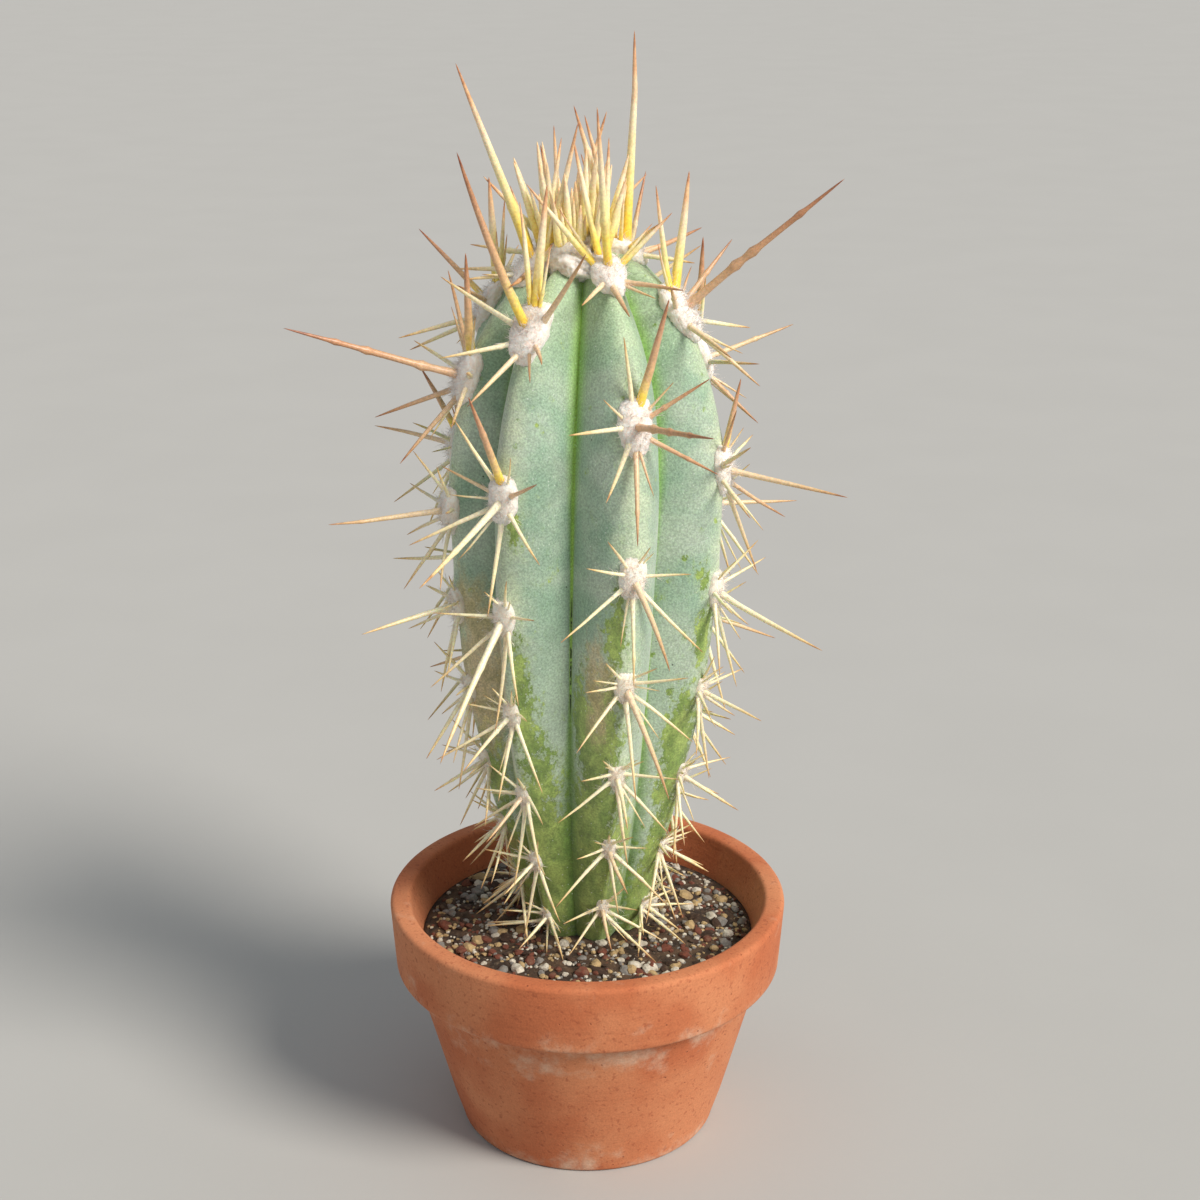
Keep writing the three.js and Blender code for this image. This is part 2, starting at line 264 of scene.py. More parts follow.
def linear(colour: str) -> tuple[float, float, float, float]:
    """Turns an sRGB hex colour into a linear one.

    Args:
        colour: Such as "#a9bca4".

    Returns:
        Linear red, green, blue and an alpha of 1.
    """
    parts = [int(colour[start : start + 2], 16) / 255 for start in (1, 3, 5)]
    red, green, blue = (
        part / 12.92 if part <= 0.04045 else ((part + 0.055) / 1.055) ** 2.4 for part in parts
    )
    return red, green, blue, 1.0


@dataclass(frozen=True)
class Kind:
    """A kind of node: its name, the inputs that a call fills in order, the output in use and
    the settings that are always the same."""

    name: str
    inputs: tuple[str | int, ...] = ()
    output: str | int = 0
    settings: tuple[tuple[str, Any], ...] = ()


COORDS = Kind("ShaderNodeTexCoord", output="Object")
VALUE = Kind("ShaderNodeAttribute", output="Fac")
NOISE = Kind("ShaderNodeTexNoise", ("Vector", "Scale", "Detail", "Roughness", "Distortion"))
CELLS = Kind("ShaderNodeTexVoronoi", ("Vector", "Scale"), "Distance")
RANGE = Kind(
    "ShaderNodeMapRange",
    ("Value", "From Min", "From Max", "To Min", "To Max"),
    settings=(("interpolation_type", "SMOOTHSTEP"),),
)
PLUS = Kind("ShaderNodeMath", (0, 1), settings=(("operation", "ADD"),))
MINUS = Kind("ShaderNodeMath", (0, 1), settings=(("operation", "SUBTRACT"),))
TIMES = Kind("ShaderNodeMath", (0, 1), settings=(("operation", "MULTIPLY"),))
PARTS = Kind("ShaderNodeSeparateColor", (0,))
STRETCHED = Kind("ShaderNodeVectorMath", (0, 1), settings=(("operation", "MULTIPLY"),))
SHADED = Kind("ShaderNodeVectorMath", (0, "Scale"), settings=(("operation", "SCALE"),))
# The mixing node's inputs 6 and 7 and its output 2 are the ones for colours.
MIXED = Kind("ShaderNodeMix", (0, 6, 7), 2, (("data_type", "RGBA"),))
RAMP = Kind("ShaderNodeValToRGB", (0,))
RELIEF = Kind("ShaderNodeBump", ("Height", "Distance", "Normal"))


class Paint:
    """A material in the making: its nodes, with places in millimetres."""

    def __init__(self, name: str) -> None:
        """Starts the material.

        Args:
            name: What the real material is and how its surface was made.
        """
        self.material = bpy.data.materials.new(name)
        self.material.use_nodes = True
        self.tree = self.material.node_tree
        self.shader = self.tree.nodes["Principled BSDF"]
        self.places = self.add(SHADED, self.add(COORDS), 1 / MM)

    def add(self, kind: Kind, *inputs: Any, stops: Any = (), **settings: Any) -> Socket:
        """Adds a node with its settings and links.

        Args:
            kind: The kind of node.
            inputs: What its inputs get, in order: a socket, a number or a hex colour.
            stops: A ramp's pairs of a place and a hex colour.
            settings: The node's own settings.

        Returns:
            The output in use.
        """
        node = self.tree.nodes.new(kind.name)
        for name, value in [*kind.settings, *settings.items()]:
            setattr(node, name, value)
        for index, (place, colour) in enumerate(stops):
            row = node.color_ramp.elements
            stop = row[index] if index < 2 else row.new(place)
            stop.position, stop.color = place, linear(colour)
        for name, value in zip(kind.inputs, inputs):
            if isinstance(value, Socket):
                self.tree.links.new(value, node.inputs[name])
            else:
                node.inputs[name].default_value = linear(value) if isinstance(value, str) else value
        return node.outputs[kind.output]

    def done(self, colour: Socket, rough: Any, normal: Socket, **fixed: Any) -> bpy.types.Material:
        """Joins the colour, roughness and relief to the shader.

        Args:
            colour: The base colour.
            rough: The roughness, as a socket or a number.
            normal: The bent normal.
            fixed: Numbers for other inputs of the shader, with _ for each space.

        Returns:
            The finished material.
        """
        self.tree.links.new(colour, self.shader.inputs["Base Color"])
        self.tree.links.new(normal, self.shader.inputs["Normal"])
        if isinstance(rough, Socket):
            self.tree.links.new(rough, self.shader.inputs["Roughness"])
        else:
            self.shader.inputs["Roughness"].default_value = rough
        for name, value in fixed.items():
            self.shader.inputs[name.replace("_", " ")].default_value = value
        return self.material


@dataclass(frozen=True)
class WaxySkin:
    """Living skin under a bloom of blue-white wax, which the foot has mostly lost."""

    wax: str = "#8caa90"
    pale_wax: str = "#b0c0ab"
    young: str = "#9cb587"
    # The crest colour is partly the wax's own cream and partly a painted highlight along the crests.
    crest: str = "#cdd8b6"
    low_wax: str = "#adbea8"
    film: str = "#9bb480"
    # The grooves' green is the bare skin's own colour, made brighter as painted light against the grooves'
    # shade.
    groove: str = "#93bd52"
    # The grooves' green low down is darker, partly the foot's own darker skin and partly painted shade.
    low_groove_and_shade: str = "#557c30"
    # The thin line in the grooves is bright green, brightened as painted light in the groove.
    line: str = "#a3cc5a"
    bare: str = "#a3b85e"
    dark_bare: str = "#708b3c"
    olive: str = "#e8cda2"
    dark_olive: str = "#bfae7c"
    speck: str = "#dfe8da"
    near_black: str = "#1d2415"

    def bloom(self, paint: Paint, height: Socket, inward: Socket) -> Socket:
        """Colours the whole wax: creamy on the crests and low down, greener at the crown. The crests' cream
        is partly the wax's own colour and partly a painted highlight.

        Args:
            paint: The material.
            height: The share of the crown's height.
            inward: How near the groove a place is, from 0 on the crest to 1.

        Returns:
            Its colour.
        """
        add, places = paint.add, paint.places
        patches = add(NOISE, places, 1 / 13, 3)
        wax = add(MIXED, add(RANGE, patches, 0.35, 0.68), self.wax, self.pale_wax)
        wax = add(MIXED, add(RANGE, height, 0.6, 0.25), wax, self.low_wax)
        # Near the crests the wax is mixed towards the crest colour, partly as a painted highlight.
        uneven = add(PLUS, inward, add(TIMES, add(MINUS, add(NOISE, places, 1 / 6, 4), 0.5), 0.9))
        wax = add(MIXED, add(RANGE, uneven, -0.05, 0.42, 0.65, 0.0), wax, self.crest)
        return add(MIXED, add(RANGE, height, 0.78, 1.0, 0.0, 0.7), wax, self.young)

    def loss(self, paint: Paint, tall: Socket, worn: Socket) -> Socket:
        """Breaks the wax up into flakes of 1 to 5 mm, with round marks of 3.6 mm.

        Args:
            paint: The material.
            tall: Places, drawn out a little upwards.
            worn: How far the wax has worn.

        Returns:
            How much of the wax is lost. From 1.25 a film is left, and above 1.45 nothing.
        """
        add = paint.add
        flakes = add(TIMES, add(NOISE, tall, 1 / 1.2, 6, 0.75), 1.25)
        lace = add(PLUS, add(NOISE, tall, 1 / 5, 5, 0.6), flakes)
        drop = add(CELLS, paint.places, 1 / 3.6)
        own = add(PARTS, drop.node.outputs["Color"])
        mark = add(TIMES, add(RANGE, drop, 0.16, 0.3, 1.0, 0.0), add(RANGE, own, 0.6, 0.8, 0.0, 0.25))
        return add(PLUS, add(PLUS, lace, worn), mark)

    def bared(self, paint: Paint, tall: Socket, height: Socket, old: Socket) -> tuple[Socket, ...]:
        """Colours the skin under the wax, and old skin.

        Args:
            paint: The material.
            tall: Places, drawn out a little upwards.
            height: The share of the crown's height.
            old: How far the skin has aged.

        Returns:
            The bare skin's colour, the old skin's, and the old skin's share.
        """
        add = paint.add
        tone = add(RANGE, add(NOISE, tall, 1 / 4, 5, 0.6), 0.36, 0.64)
        mottle = add(NOISE, tall, 1 / 1.2, 4, 0.65)
        bare = add(MIXED, tone, self.bare, self.dark_bare)
        bare = add(MIXED, add(RANGE, height, 0.0, 0.3, 0.3, 0.0), bare, self.dark_bare)
        bare = add(SHADED, bare, add(RANGE, mottle, 0.3, 0.7, 0.82, 1.16))
        rust = add(MIXED, tone, self.olive, self.dark_olive)
        rust = add(SHADED, rust, add(RANGE, mottle, 0.3, 0.7, 0.86, 1.12))
        aged = add(PLUS, old, add(TIMES, add(MINUS, add(NOISE, tall, 1 / 8, 8, 0.7), 0.5), 2.4))
        return bare, rust, add(RANGE, aged, 0.3, 0.8)

    def grooved(self, paint: Paint, colour: Socket, height: Socket, inward: Socket) -> Socket:
        """Lays the grooves' green over the skin: bright at the crown, a thin line at half height and soft
        below. The green is the bare skin's own colour, made brighter as painted light against the grooves'
        shade, and darker low down, partly as painted shade. Near the line's lower end, black dashes lie along
        the groove's bottom.

        Args:
            paint: The material.
            colour: The skin's colour so far.
            height: The share of the crown's height.
            inward: How near the groove a place is, from 0 on the crest to 1.

        Returns:
            The colour.
        """
        add, places = paint.add, paint.places
        near_foot = add(RANGE, height, 0.14, 0.42, 0.55, 0.955)
        near_crown = add(RANGE, height, 0.5, 0.95, 0.0, 0.26)
        edge = add(MINUS, near_foot, near_crown)
        # Low down the grooves' green darkens, partly the foot's own darker skin and partly painted shade.
        green = add(MIXED, add(RANGE, height, 0.15, 0.45), self.low_groove_and_shade, self.groove)
        # The band of green along each groove is brightened as painted light against the groove's shade.
        colour = add(MIXED, add(RANGE, inward, edge, 1.0, 0.0, 0.8), colour, green)
        # The thin line's bright green is painted light in the bottom of the groove.
        line = add(TIMES, add(RANGE, inward, 0.95, 0.985, 0.0, 0.85), add(RANGE, height, 0.3, 0.45))
        colour = add(MIXED, line, colour, self.line)
        # Black dashes are laid along the groove's bottom near the lower end of the line.
        dash_noise = add(PLUS, add(NOISE, places, 1 / 4, 2), add(TIMES, add(NOISE, places, 1 / 0.9, 3), 0.5))
        dashes = add(RANGE, dash_noise, 0.68, 0.74)
        dashes = add(TIMES, dashes, add(RANGE, height, 0.33, 0.4))
        dashes = add(TIMES, dashes, add(RANGE, height, 0.5, 0.58, 1.0, 0.0))
        return add(MIXED, add(TIMES, dashes, add(RANGE, inward, 0.974, 0.99)), colour, self.near_black)

    def specked(self, paint: Paint, colour: Socket) -> Socket:
        """Adds specks, in one cell out of three: pale wax in the small cells, near-black in the large ones.

        Args:
            paint: The material.
            colour: The skin's colour so far.

        Returns:
            The colour.
        """
        add = paint.add
        for size, near, far, strength, spot in (
            (1.1, 0.08, 0.2, 0.6, self.speck),
            (4.7, 0.03, 0.05, 0.9, self.near_black),
        ):
            dot = add(CELLS, paint.places, 1 / size)
            own = add(PARTS, dot.node.outputs["Color"])
            share = add(TIMES, add(RANGE, dot, near, far, strength, 0.0), add(RANGE, own, 0.66, 0.68))
            colour = add(MIXED, share, colour, spot)
        return colour

    def make(self) -> bpy.types.Material:
        """Makes the material.

        Returns:
            The material.
        """
        # To the eye, the wax is a dull grey-blue veil over green, creamier on the crests, where a painted
        # highlight is also laid along them. It breaks up downwards into lace with bright green skin between,
        # and old skin is brown.
        paint = Paint("living skin, grown under wax bloom")
        add, places = paint.add, paint.places
        tall = add(STRETCHED, places, (1.0, 1.0, 0.6))
        height, inward, worn, old = (
            add(VALUE, attribute_name=name) for name in ("height", "inward", "worn", "old")
        )
        loss = self.loss(paint, tall, worn)
        lost = add(RANGE, loss, 1.435, 1.47)
        bare, rust, aged = self.bared(paint, tall, height, old)
        film = add(RANGE, loss, 1.25, 1.455, 0.0, 0.6)
        colour = add(MIXED, film, self.bloom(paint, height, inward), self.film)
        colour = add(MIXED, add(TIMES, lost, 0.94), colour, bare)
        colour = add(MIXED, add(TIMES, aged, 0.8), colour, rust)
        colour = self.grooved(paint, colour, height, inward)

        # The skin's cells and pores are 0.1 mm, drawn at 0.45 mm so that they show.
        grain = add(NOISE, places, 1 / 0.45, 2, 0.7)
        colour = add(SHADED, colour, add(RANGE, grain, 0.3, 0.7, 0.76, 1.22))
        colour = self.specked(paint, colour)
        normal = add(RELIEF, add(NOISE, places, 1 / 1.6, 4), 0.12 * MM)
        normal = add(RELIEF, add(MINUS, 1.0, lost), 0.04 * MM, normal)
        normal = add(RELIEF, grain, 0.05 * MM, normal)
        return paint.done(
            colour,
            add(RANGE, lost, 0.0, 1.0, 0.6, 0.44),
            normal,
            Sheen_Weight=0.3,
            Subsurface_Weight=0.15,
            Subsurface_Radius=(0.6, 1.0, 0.35),
            Subsurface_Scale=0.0015,
        )


@dataclass(frozen=True)
class FeltedWool:
    """Short plant wool, felted by rain: white where fresh, pinkish in its folds, creamy with age. Its folds
    and its edge against the skin are painted darker, as painted shade.
    """

    fresh: str = "#fff9f0"
    # The pinkish crease colour is a pinkish tint, darker as painted shade in the creases.
    pink_crease_shade: str = "#f5ded1"
    # The edge colour is painted shade along the felt's edge against the skin.
    rim: str = "#f6e6d8"
    old: str = "#fff3da"
    # The darker old colour is old felt in its creases, darker as painted shade.
    old_crease_shade: str = "#ffe4c8"

    def make(self) -> bpy.types.Material:
        """Makes the material.

        Returns:
            The material.
        """
        # To the eye, the felt is crumpled like wet tissue: no gloss, light that soaks in, and dull pinkish
        # creases, which are painted darker as painted shade, as is the felt's edge against the skin. Its
        # hairs are 0.02 mm, drawn as creases of 0.4 and 1.1 mm.
        paint = Paint("areole wool, grown and felted")
        add, places = paint.add, paint.places
        crease = add(NOISE, places, 1 / 1.1, 5, 0.65, 1.5)
        # The creases are painted pinkish and darker: a pinkish tint with painted shade.
        colour = add(MIXED, add(RANGE, crease, 0.36, 0.62, 0.9, 0.0), self.fresh, self.pink_crease_shade)
        # The felt's edge against the skin is painted slightly darker and warmer, as painted shade, most of
        # all in the creases.
        rim = add(RANGE, add(VALUE, attribute_name="fluff"), 0.0, 0.5, 0.75, 0.0)
        colour = add(MIXED, add(TIMES, rim, add(RANGE, crease, 0.3, 0.7, 1.0, 0.4)), colour, self.rim)
        # Old felt is creamy. In its creases it is painted darker, as painted shade.
        aged = add(MIXED, add(RANGE, crease, 0.4, 0.6), self.old_crease_shade, self.old)
        colour = add(MIXED, add(TIMES, add(VALUE, attribute_name="age"), 0.75), colour, aged)
        normal = add(RELIEF, crease, 0.12 * MM)
        normal = add(RELIEF, add(NOISE, places, 1 / 0.4, 3, 0.7, 1.0), 0.08 * MM, normal)
        return paint.done(
            colour,
            0.95,
            normal,
            Sheen_Weight=0.5,
            Subsurface_Weight=0.7,
            Subsurface_Radius=(1.0, 0.9, 0.8),
            Subsurface_Scale=0.0022,
        )


@dataclass(frozen=True)
class SpineHorn:
    """Horn that hardens from the tip down: brown at the tip, yellow at a young base."""

    young: tuple[tuple[float, str], ...] = (
        (0.0, "#ffcb3c"),
        (0.18, "#ffdf64"),
        (0.4, "#fff0ae"),
        (0.64, "#ffedca"),
        (0.84, "#f5c697"),
        (1.0, "#b0714d"),
    )
    straw: tuple[tuple[float, str], ...] = (
        (0.0, "#ecd4a8"),
        (0.1, "#fff5d6"),
        (0.6, "#fbeabc"),
        (0.85, "#ecc98f"),
        (1.0, "#b07a4e"),
    )
    brown: tuple[tuple[float, str], ...] = (
        (0.0, "#e6c19c"),
        (0.3, "#d9ac83"),
        (0.7, "#c38c66"),
        (1.0, "#8a5139"),
    )

    def make(self) -> bpy.types.Material:
        """Makes the material.

        Returns:
            The material.
        """
        # To the eye, horn is smooth and half clear, with a soft gloss down one side. Streaks
        # of 2.2 mm and flecks of 0.6 mm keep it from looking moulded.
        paint = Paint("spine horn, grown")
        add, places = paint.add, paint.places
        youth, brown, share = (add(VALUE, attribute_name=name) for name in ("youth", "brown", "along"))
        streaks = add(MINUS, add(NOISE, places, 1 / 2.2, 4), 0.5)
        along = add(PLUS, share, add(TIMES, streaks, 0.3))
        colour = add(MIXED, youth, add(RAMP, along, stops=self.straw), add(RAMP, along, stops=self.young))
        yellow = add(TIMES, youth, add(RANGE, along, 0.12, 0.4, 1.0, 0.0))
        brown = add(TIMES, brown, add(MINUS, 1.0, yellow))
        colour = add(MIXED, brown, colour, add(RAMP, along, stops=self.brown))
        flecks = add(NOISE, places, 1 / 0.6, 3)
        colour = add(SHADED, colour, add(RANGE, flecks, 0.25, 0.75, 0.86, 1.14))
        return paint.done(
            colour,
            0.36,
            add(RELIEF, flecks, 0.05 * MM),
            Subsurface_Weight=0.35,
            Subsurface_Radius=(1.0, 0.7, 0.35),
            Subsurface_Scale=0.0008,
        )


@dataclass(frozen=True)
class FiredClay:
    """Unglazed terracotta, turned and fired, with a bloom of salts from watering."""

    clay: str = "#b9673f"
    pale: str = "#cb8258"
    dark: str = "#94492c"
    salt: str = "#dcc3a9"

    def make(self) -> bpy.types.Material:
        """Makes the material.

        Returns:
            The material.
        """
        # To the eye, fired clay is dry and warm, paler where salts came through, with sandy flecks of 1 mm,
        # pores of 0.45 mm, turning lines 1.8 mm apart and a few pits, which are painted darker as painted
        # shade.
        paint = Paint("terracotta, turned and fired")
        add, places = paint.add, paint.places
        colour = add(MIXED, add(RANGE, add(NOISE, places, 1 / 22, 4), 0.35, 0.68), self.clay, self.pale)
        flecks = add(RANGE, add(NOISE, places, 1 / 1.1, 4), 0.56, 0.7, 0.0, 0.5)
        colour = add(MIXED, flecks, colour, self.dark)
        salt = add(PLUS, add(NOISE, places, 1 / 9, 7, 0.62), add(VALUE, attribute_name="damp"))
        colour = add(MIXED, add(RANGE, salt, 0.68, 1.0, 0.0, 0.7), colour, self.salt)
        pores = add(RANGE, add(NOISE, places, 1 / 0.45, 2), 0.2, 0.8, 0.9, 1.08)
        colour = add(SHADED, colour, pores)
        dot = add(CELLS, places, 1 / 2.4)
        own = add(PARTS, dot.node.outputs["Color"])
        pit = add(TIMES, add(RANGE, dot, 0.05, 0.13, 1.0, 0.0), add(RANGE, own, 0.66, 0.7))
        # The pits are painted darker, which is painted shade in them.
        colour = add(MIXED, add(TIMES, pit, 0.6), colour, self.dark)
        lines = add(STRETCHED, places, (0.0, 0.0, 1.0))
        normal = add(RELIEF, add(NOISE, lines, 1 / 1.8, 3, 0.6), 0.12 * MM)
        normal = add(RELIEF, add(NOISE, places, 1 / 0.9, 4, 0.6), 0.1 * MM, normal)
        normal = add(RELIEF, add(MINUS, 1.0, pit), 0.15 * MM, normal)
        return paint.done(colour, 0.9, normal)


@dataclass(frozen=True)
class PottingMix:
    """Peat, fine bark and dust, sieved and pressed down by watering."""

    peat: str = "#33261c"
    loam: str = "#594330"
    dust: str = "#84705a"

    def make(self) -> bpy.types.Material:
        """Makes the material.

        Returns:
            The material.
        """
        # To the eye, damp peat is nearly black and without gloss, with crumbs of 1 to 3.5 mm.
        paint = Paint("potting mix, sieved and watered in")
        add, places = paint.add, paint.places
        colour = add(MIXED, add(RANGE, add(NOISE, places, 1 / 3.5, 5), 0.35, 0.65), self.peat, self.loam)
        colour = add(MIXED, add(RANGE, add(NOISE, places, 1.0, 5), 0.55, 0.75, 0.0, 0.6), colour, self.dust)
        return paint.done(colour, 0.97, add(RELIEF, add(NOISE, places, 1 / 1.6, 6, 0.7), 0.7 * MM))


class Grain(Enum):
    """Kinds of grain in the mix, with the number that the mesh holds and their colour."""

    PUMICE = (0.0, "#cdc4b2")
    SAND = (0.25, "#b2976b")
    GRANITE = (0.5, "#827d76")
    LAVA = (0.75, "#6d3c2b")
    BARK = (1.0, "#3f2b1e")


@dataclass(frozen=True)
class BrokenGrit:
    """Crushed pumice, lava, granite, sand and bark."""

    dust: str = "#6f5c48"

    def make(self) -> bpy.types.Material:
        """Makes the material.

        Returns:
            The material.
        """
        # To the eye, each grain has one colour, dulled by dust from the others.
        paint = Paint("grit, crushed and sieved")
        add, places = paint.add, paint.places
        own = add(VALUE, attribute_name="grain")
        colour = add(RAMP, own, stops=[grain.value for grain in Grain])
        colour = add(SHADED, colour, add(RANGE, add(NOISE, places, 1 / 0.7, 4), 0.25, 0.75, 0.75, 1.15))
        colour = add(MIXED, add(RANGE, add(NOISE, places, 1 / 1.4, 4), 0.5, 0.7, 0.0, 0.5), colour, self.dust)
        return paint.done(colour, 0.93, add(RELIEF, add(NOISE, places, 1 / 0.4, 4, 0.65), 0.12 * MM))


@dataclass(frozen=True)
class PaintedBoard:
    """Smooth board under matt paint, for the floor."""

    paint: str = "#b3b1ac"
    pale: str = "#bdbbb6"

    def make(self) -> bpy.types.Material:
        """Makes the material.

        Returns:
            The material.
        """
        # To the eye, rolled matt paint is even, with a faint stipple of 2 mm.
        paint = Paint("board, rolled with matt paint")
        add, places = paint.add, paint.places
        share = add(RANGE, add(NOISE, places, 1 / 60, 3), 0.3, 0.7, 0.0, 0.15)
        colour = add(MIXED, share, self.paint, self.pale)
        return paint.done(colour, 0.85, add(RELIEF, add(NOISE, places, 1 / 2, 2), 0.02 * MM))


# The plant's form


class Tone(Enum):
    """How a leader is coloured: its share of the young colours and of the brown ones."""

    GOLD = (1.0, 0.1)
    AMBER = (1.0, 0.85)
    STRAW = (0.0, 0.05)
    TAN = (0.0, 0.5)
    BROWN = (0.0, 0.95)


@dataclass(frozen=True)
class Rib:
    """One rib: its azimuth, its areoles' first rank and step, and the leaders that don't
    follow the rule, from the crown down, as (turn, rise, length, tone)."""

    azimuth: float
    first: float
    step: float
    leaders: tuple[tuple[float, float, float, Tone], ...]


RIBS = (
    Rib(
        -72,
        0.0,
        0.81,
        (
            (12, 68, 46, Tone.GOLD),
            (2, 19, 41, Tone.BROWN),
            (2, -1, 27, Tone.TAN),
            (16, -5, 24, Tone.STRAW),
            (15, -52, 19, Tone.STRAW),
        ),
    ),
    Rib(-37, 0.47, 0.94, ((-4, 63, 44, Tone.AMBER), (9, -16, 34, Tone.STRAW), (10, -40, 36, Tone.STRAW))),
    Rib(
        16,
        0.02,
        0.97,
        (
            (-29, 73, 37, Tone.GOLD),
            (10, 10, 34, Tone.BROWN),
            (0, -23, 28, Tone.TAN),
            (6, -34, 29, Tone.TAN),
        ),
    ),
    Rib(
        66,
        0.41,
        0.94,
        (
            (8, 41, 45, Tone.BROWN),
            (3, -7, 28, Tone.TAN),
            (-9, -18, 28, Tone.STRAW),
            (-14, -11, 17, Tone.STRAW),
        ),
    ),
    Rib(112, -0.1, 0.97, ((-21, 88, 46, Tone.GOLD), (0, 15, 24, Tone.TAN), (0, -5, 22, Tone.TAN))),
    Rib(156, 0.5, 0.93, ((0, 60, 30, Tone.AMBER),)),
    Rib(200, 0, 0.97, ((0, 80, 27, Tone.GOLD),)),
    Rib(244, 0.46, 0.92, ((-5, 38, 24, Tone.AMBER), (0, 5, 22, Tone.TAN), (0, -10, 20, Tone.STRAW))),
)


@dataclass(frozen=True)
class Mark:
    """A patch of worn or aged skin: its rib, the middle's phase and height, its half width in
    phase, its half height, and its strength, below 0 where the wax has lasted."""

    rib: int
    phase: float
    height: float
    wide: float
    tall: float
    strength: float


# Where the wax has worn off early: under areoles, beside the crests and on the right flanks.
WORN = (
    Mark(1, 0.16, 106, 0.12, 4, 0.5),
    Mark(1, 0.2, 72, 0.14, 12, 0.4),
    Mark(1, 0.45, 50, 0.3, 12, 0.2),
    Mark(2, -0.2, 82, 0.14, 13, 0.55),
    Mark(2, -0.45, 58, 0.35, 13, 0.35),
    Mark(2, -0.75, 62, 0.15, 10, 0.3),
    Mark(1, 0.68, 46, 0.3, 20, -0.08),
    Mark(1, 0.7, 24, 0.4, 14, 0.4),
    Mark(2, 0.5, 45, 0.35, 30, -0.2),
    Mark(2, -0.5, 20, 0.5, 22, 0.3),
    Mark(3, -0.22, 78, 0.14, 8, 0.5),
    Mark(3, -0.35, 54, 0.3, 11, 0.4),
    Mark(3, -0.3, 92, 0.12, 5, 0.35),
    Mark(3, -0.8, 40, 0.25, 26, -0.16),
    Mark(5, 0.2, 88, 0.15, 12, 0.45),
    Mark(6, -0.3, 74, 0.25, 14, 0.4),
    Mark(7, -0.2, 96, 0.12, 9, 0.45),
)

# Where old skin has turned olive-brown: on the left flanks, at a third to half the height.
AGED = (
    Mark(0, 0.45, 70, 0.55, 32, 0.9),
    Mark(0, -0.4, 60, 0.4, 26, 0.7),
    Mark(1, -0.45, 72, 0.45, 27, 0.85),
    Mark(2, -0.45, 74, 0.25, 10, 0.7),
    Mark(2, -0.4, 60, 0.35, 11, 0.5),
    Mark(2, -0.15, 90, 0.12, 14, 0.35),
    Mark(4, -0.3, 46, 0.4, 22, 0.6),
    Mark(5, -0.5, 62, 0.4, 24, 0.8),
    Mark(6, -0.4, 44, 0.3, 18, 0.5),
    Mark(7, -0.5, 70, 0.45, 26, 0.85),
)


@dataclass(frozen=True)
class Areole:
    """A woolly spot on a rib's crest. Its rank is 0 at the crown and 6 at the foot."""

    rib: int
    order: int
    rank: float
    place: Array
    side: Array
    up: Array
    outward: Array
    first_scale: float = 0.78
    growth: float = 0.5
    aging: float = 0.29
    fresh_rank: float = 0.8
    old_rank: float = 3.5
    above_skin: float = 0.5

    @property
    def seed(self) -> int:
        """The number that its draws start from."""
        return 1000 * self.rib + 50 * self.order

    @property
    def scale(self) -> float:
        """Its size: it swells while it is young, and wears away with age."""
        young = min(1.0, self.first_scale + self.growth * self.rank)
        return young / (1 + self.aging * max(0.0, self.rank))

    @property
    def age(self) -> float:
        """How old its wool is, from 0 on the crown's areoles to 1 on the lowest."""
        return float(ease(self.rank, self.fresh_rank, self.old_rank))

    @property
    def root(self) -> Array:
        """Where its spines start, just above the skin."""
        return self.place + self.above_skin * self.outward

    def turn(self, places: Array) -> Array:
        """Moves (side, up, outward) points in millimetres to their places on the plant."""
        return places @ np.stack([self.side, self.up, self.outward]) + self.place


@dataclass(frozen=True)
class Pad:
    """The size of an areole's pad of wool, at a scale of 1."""

    half_width: float = 4.9
    half_height: float = 7.8
    half_depth: float = 3.3
    flattening: float = 0.95
    narrowest: float = 0.85
    narrow_scale: float = 0.35
    full_scale: float = 0.8

    def size(self, scale: float) -> Array:
        """Gives a pad's half sizes. A small one is narrower for its height.

        Args:
            scale: Its size against a new areole's.

        Returns:
            Its half width, half height and half depth.
        """
        narrow = mix(self.narrowest, 1.0, ease(scale, self.narrow_scale, self.full_scale))
        depth = self.half_depth * mix(1, scale, self.flattening)
        return np.array([self.half_width * scale * narrow, self.half_height * scale, depth])


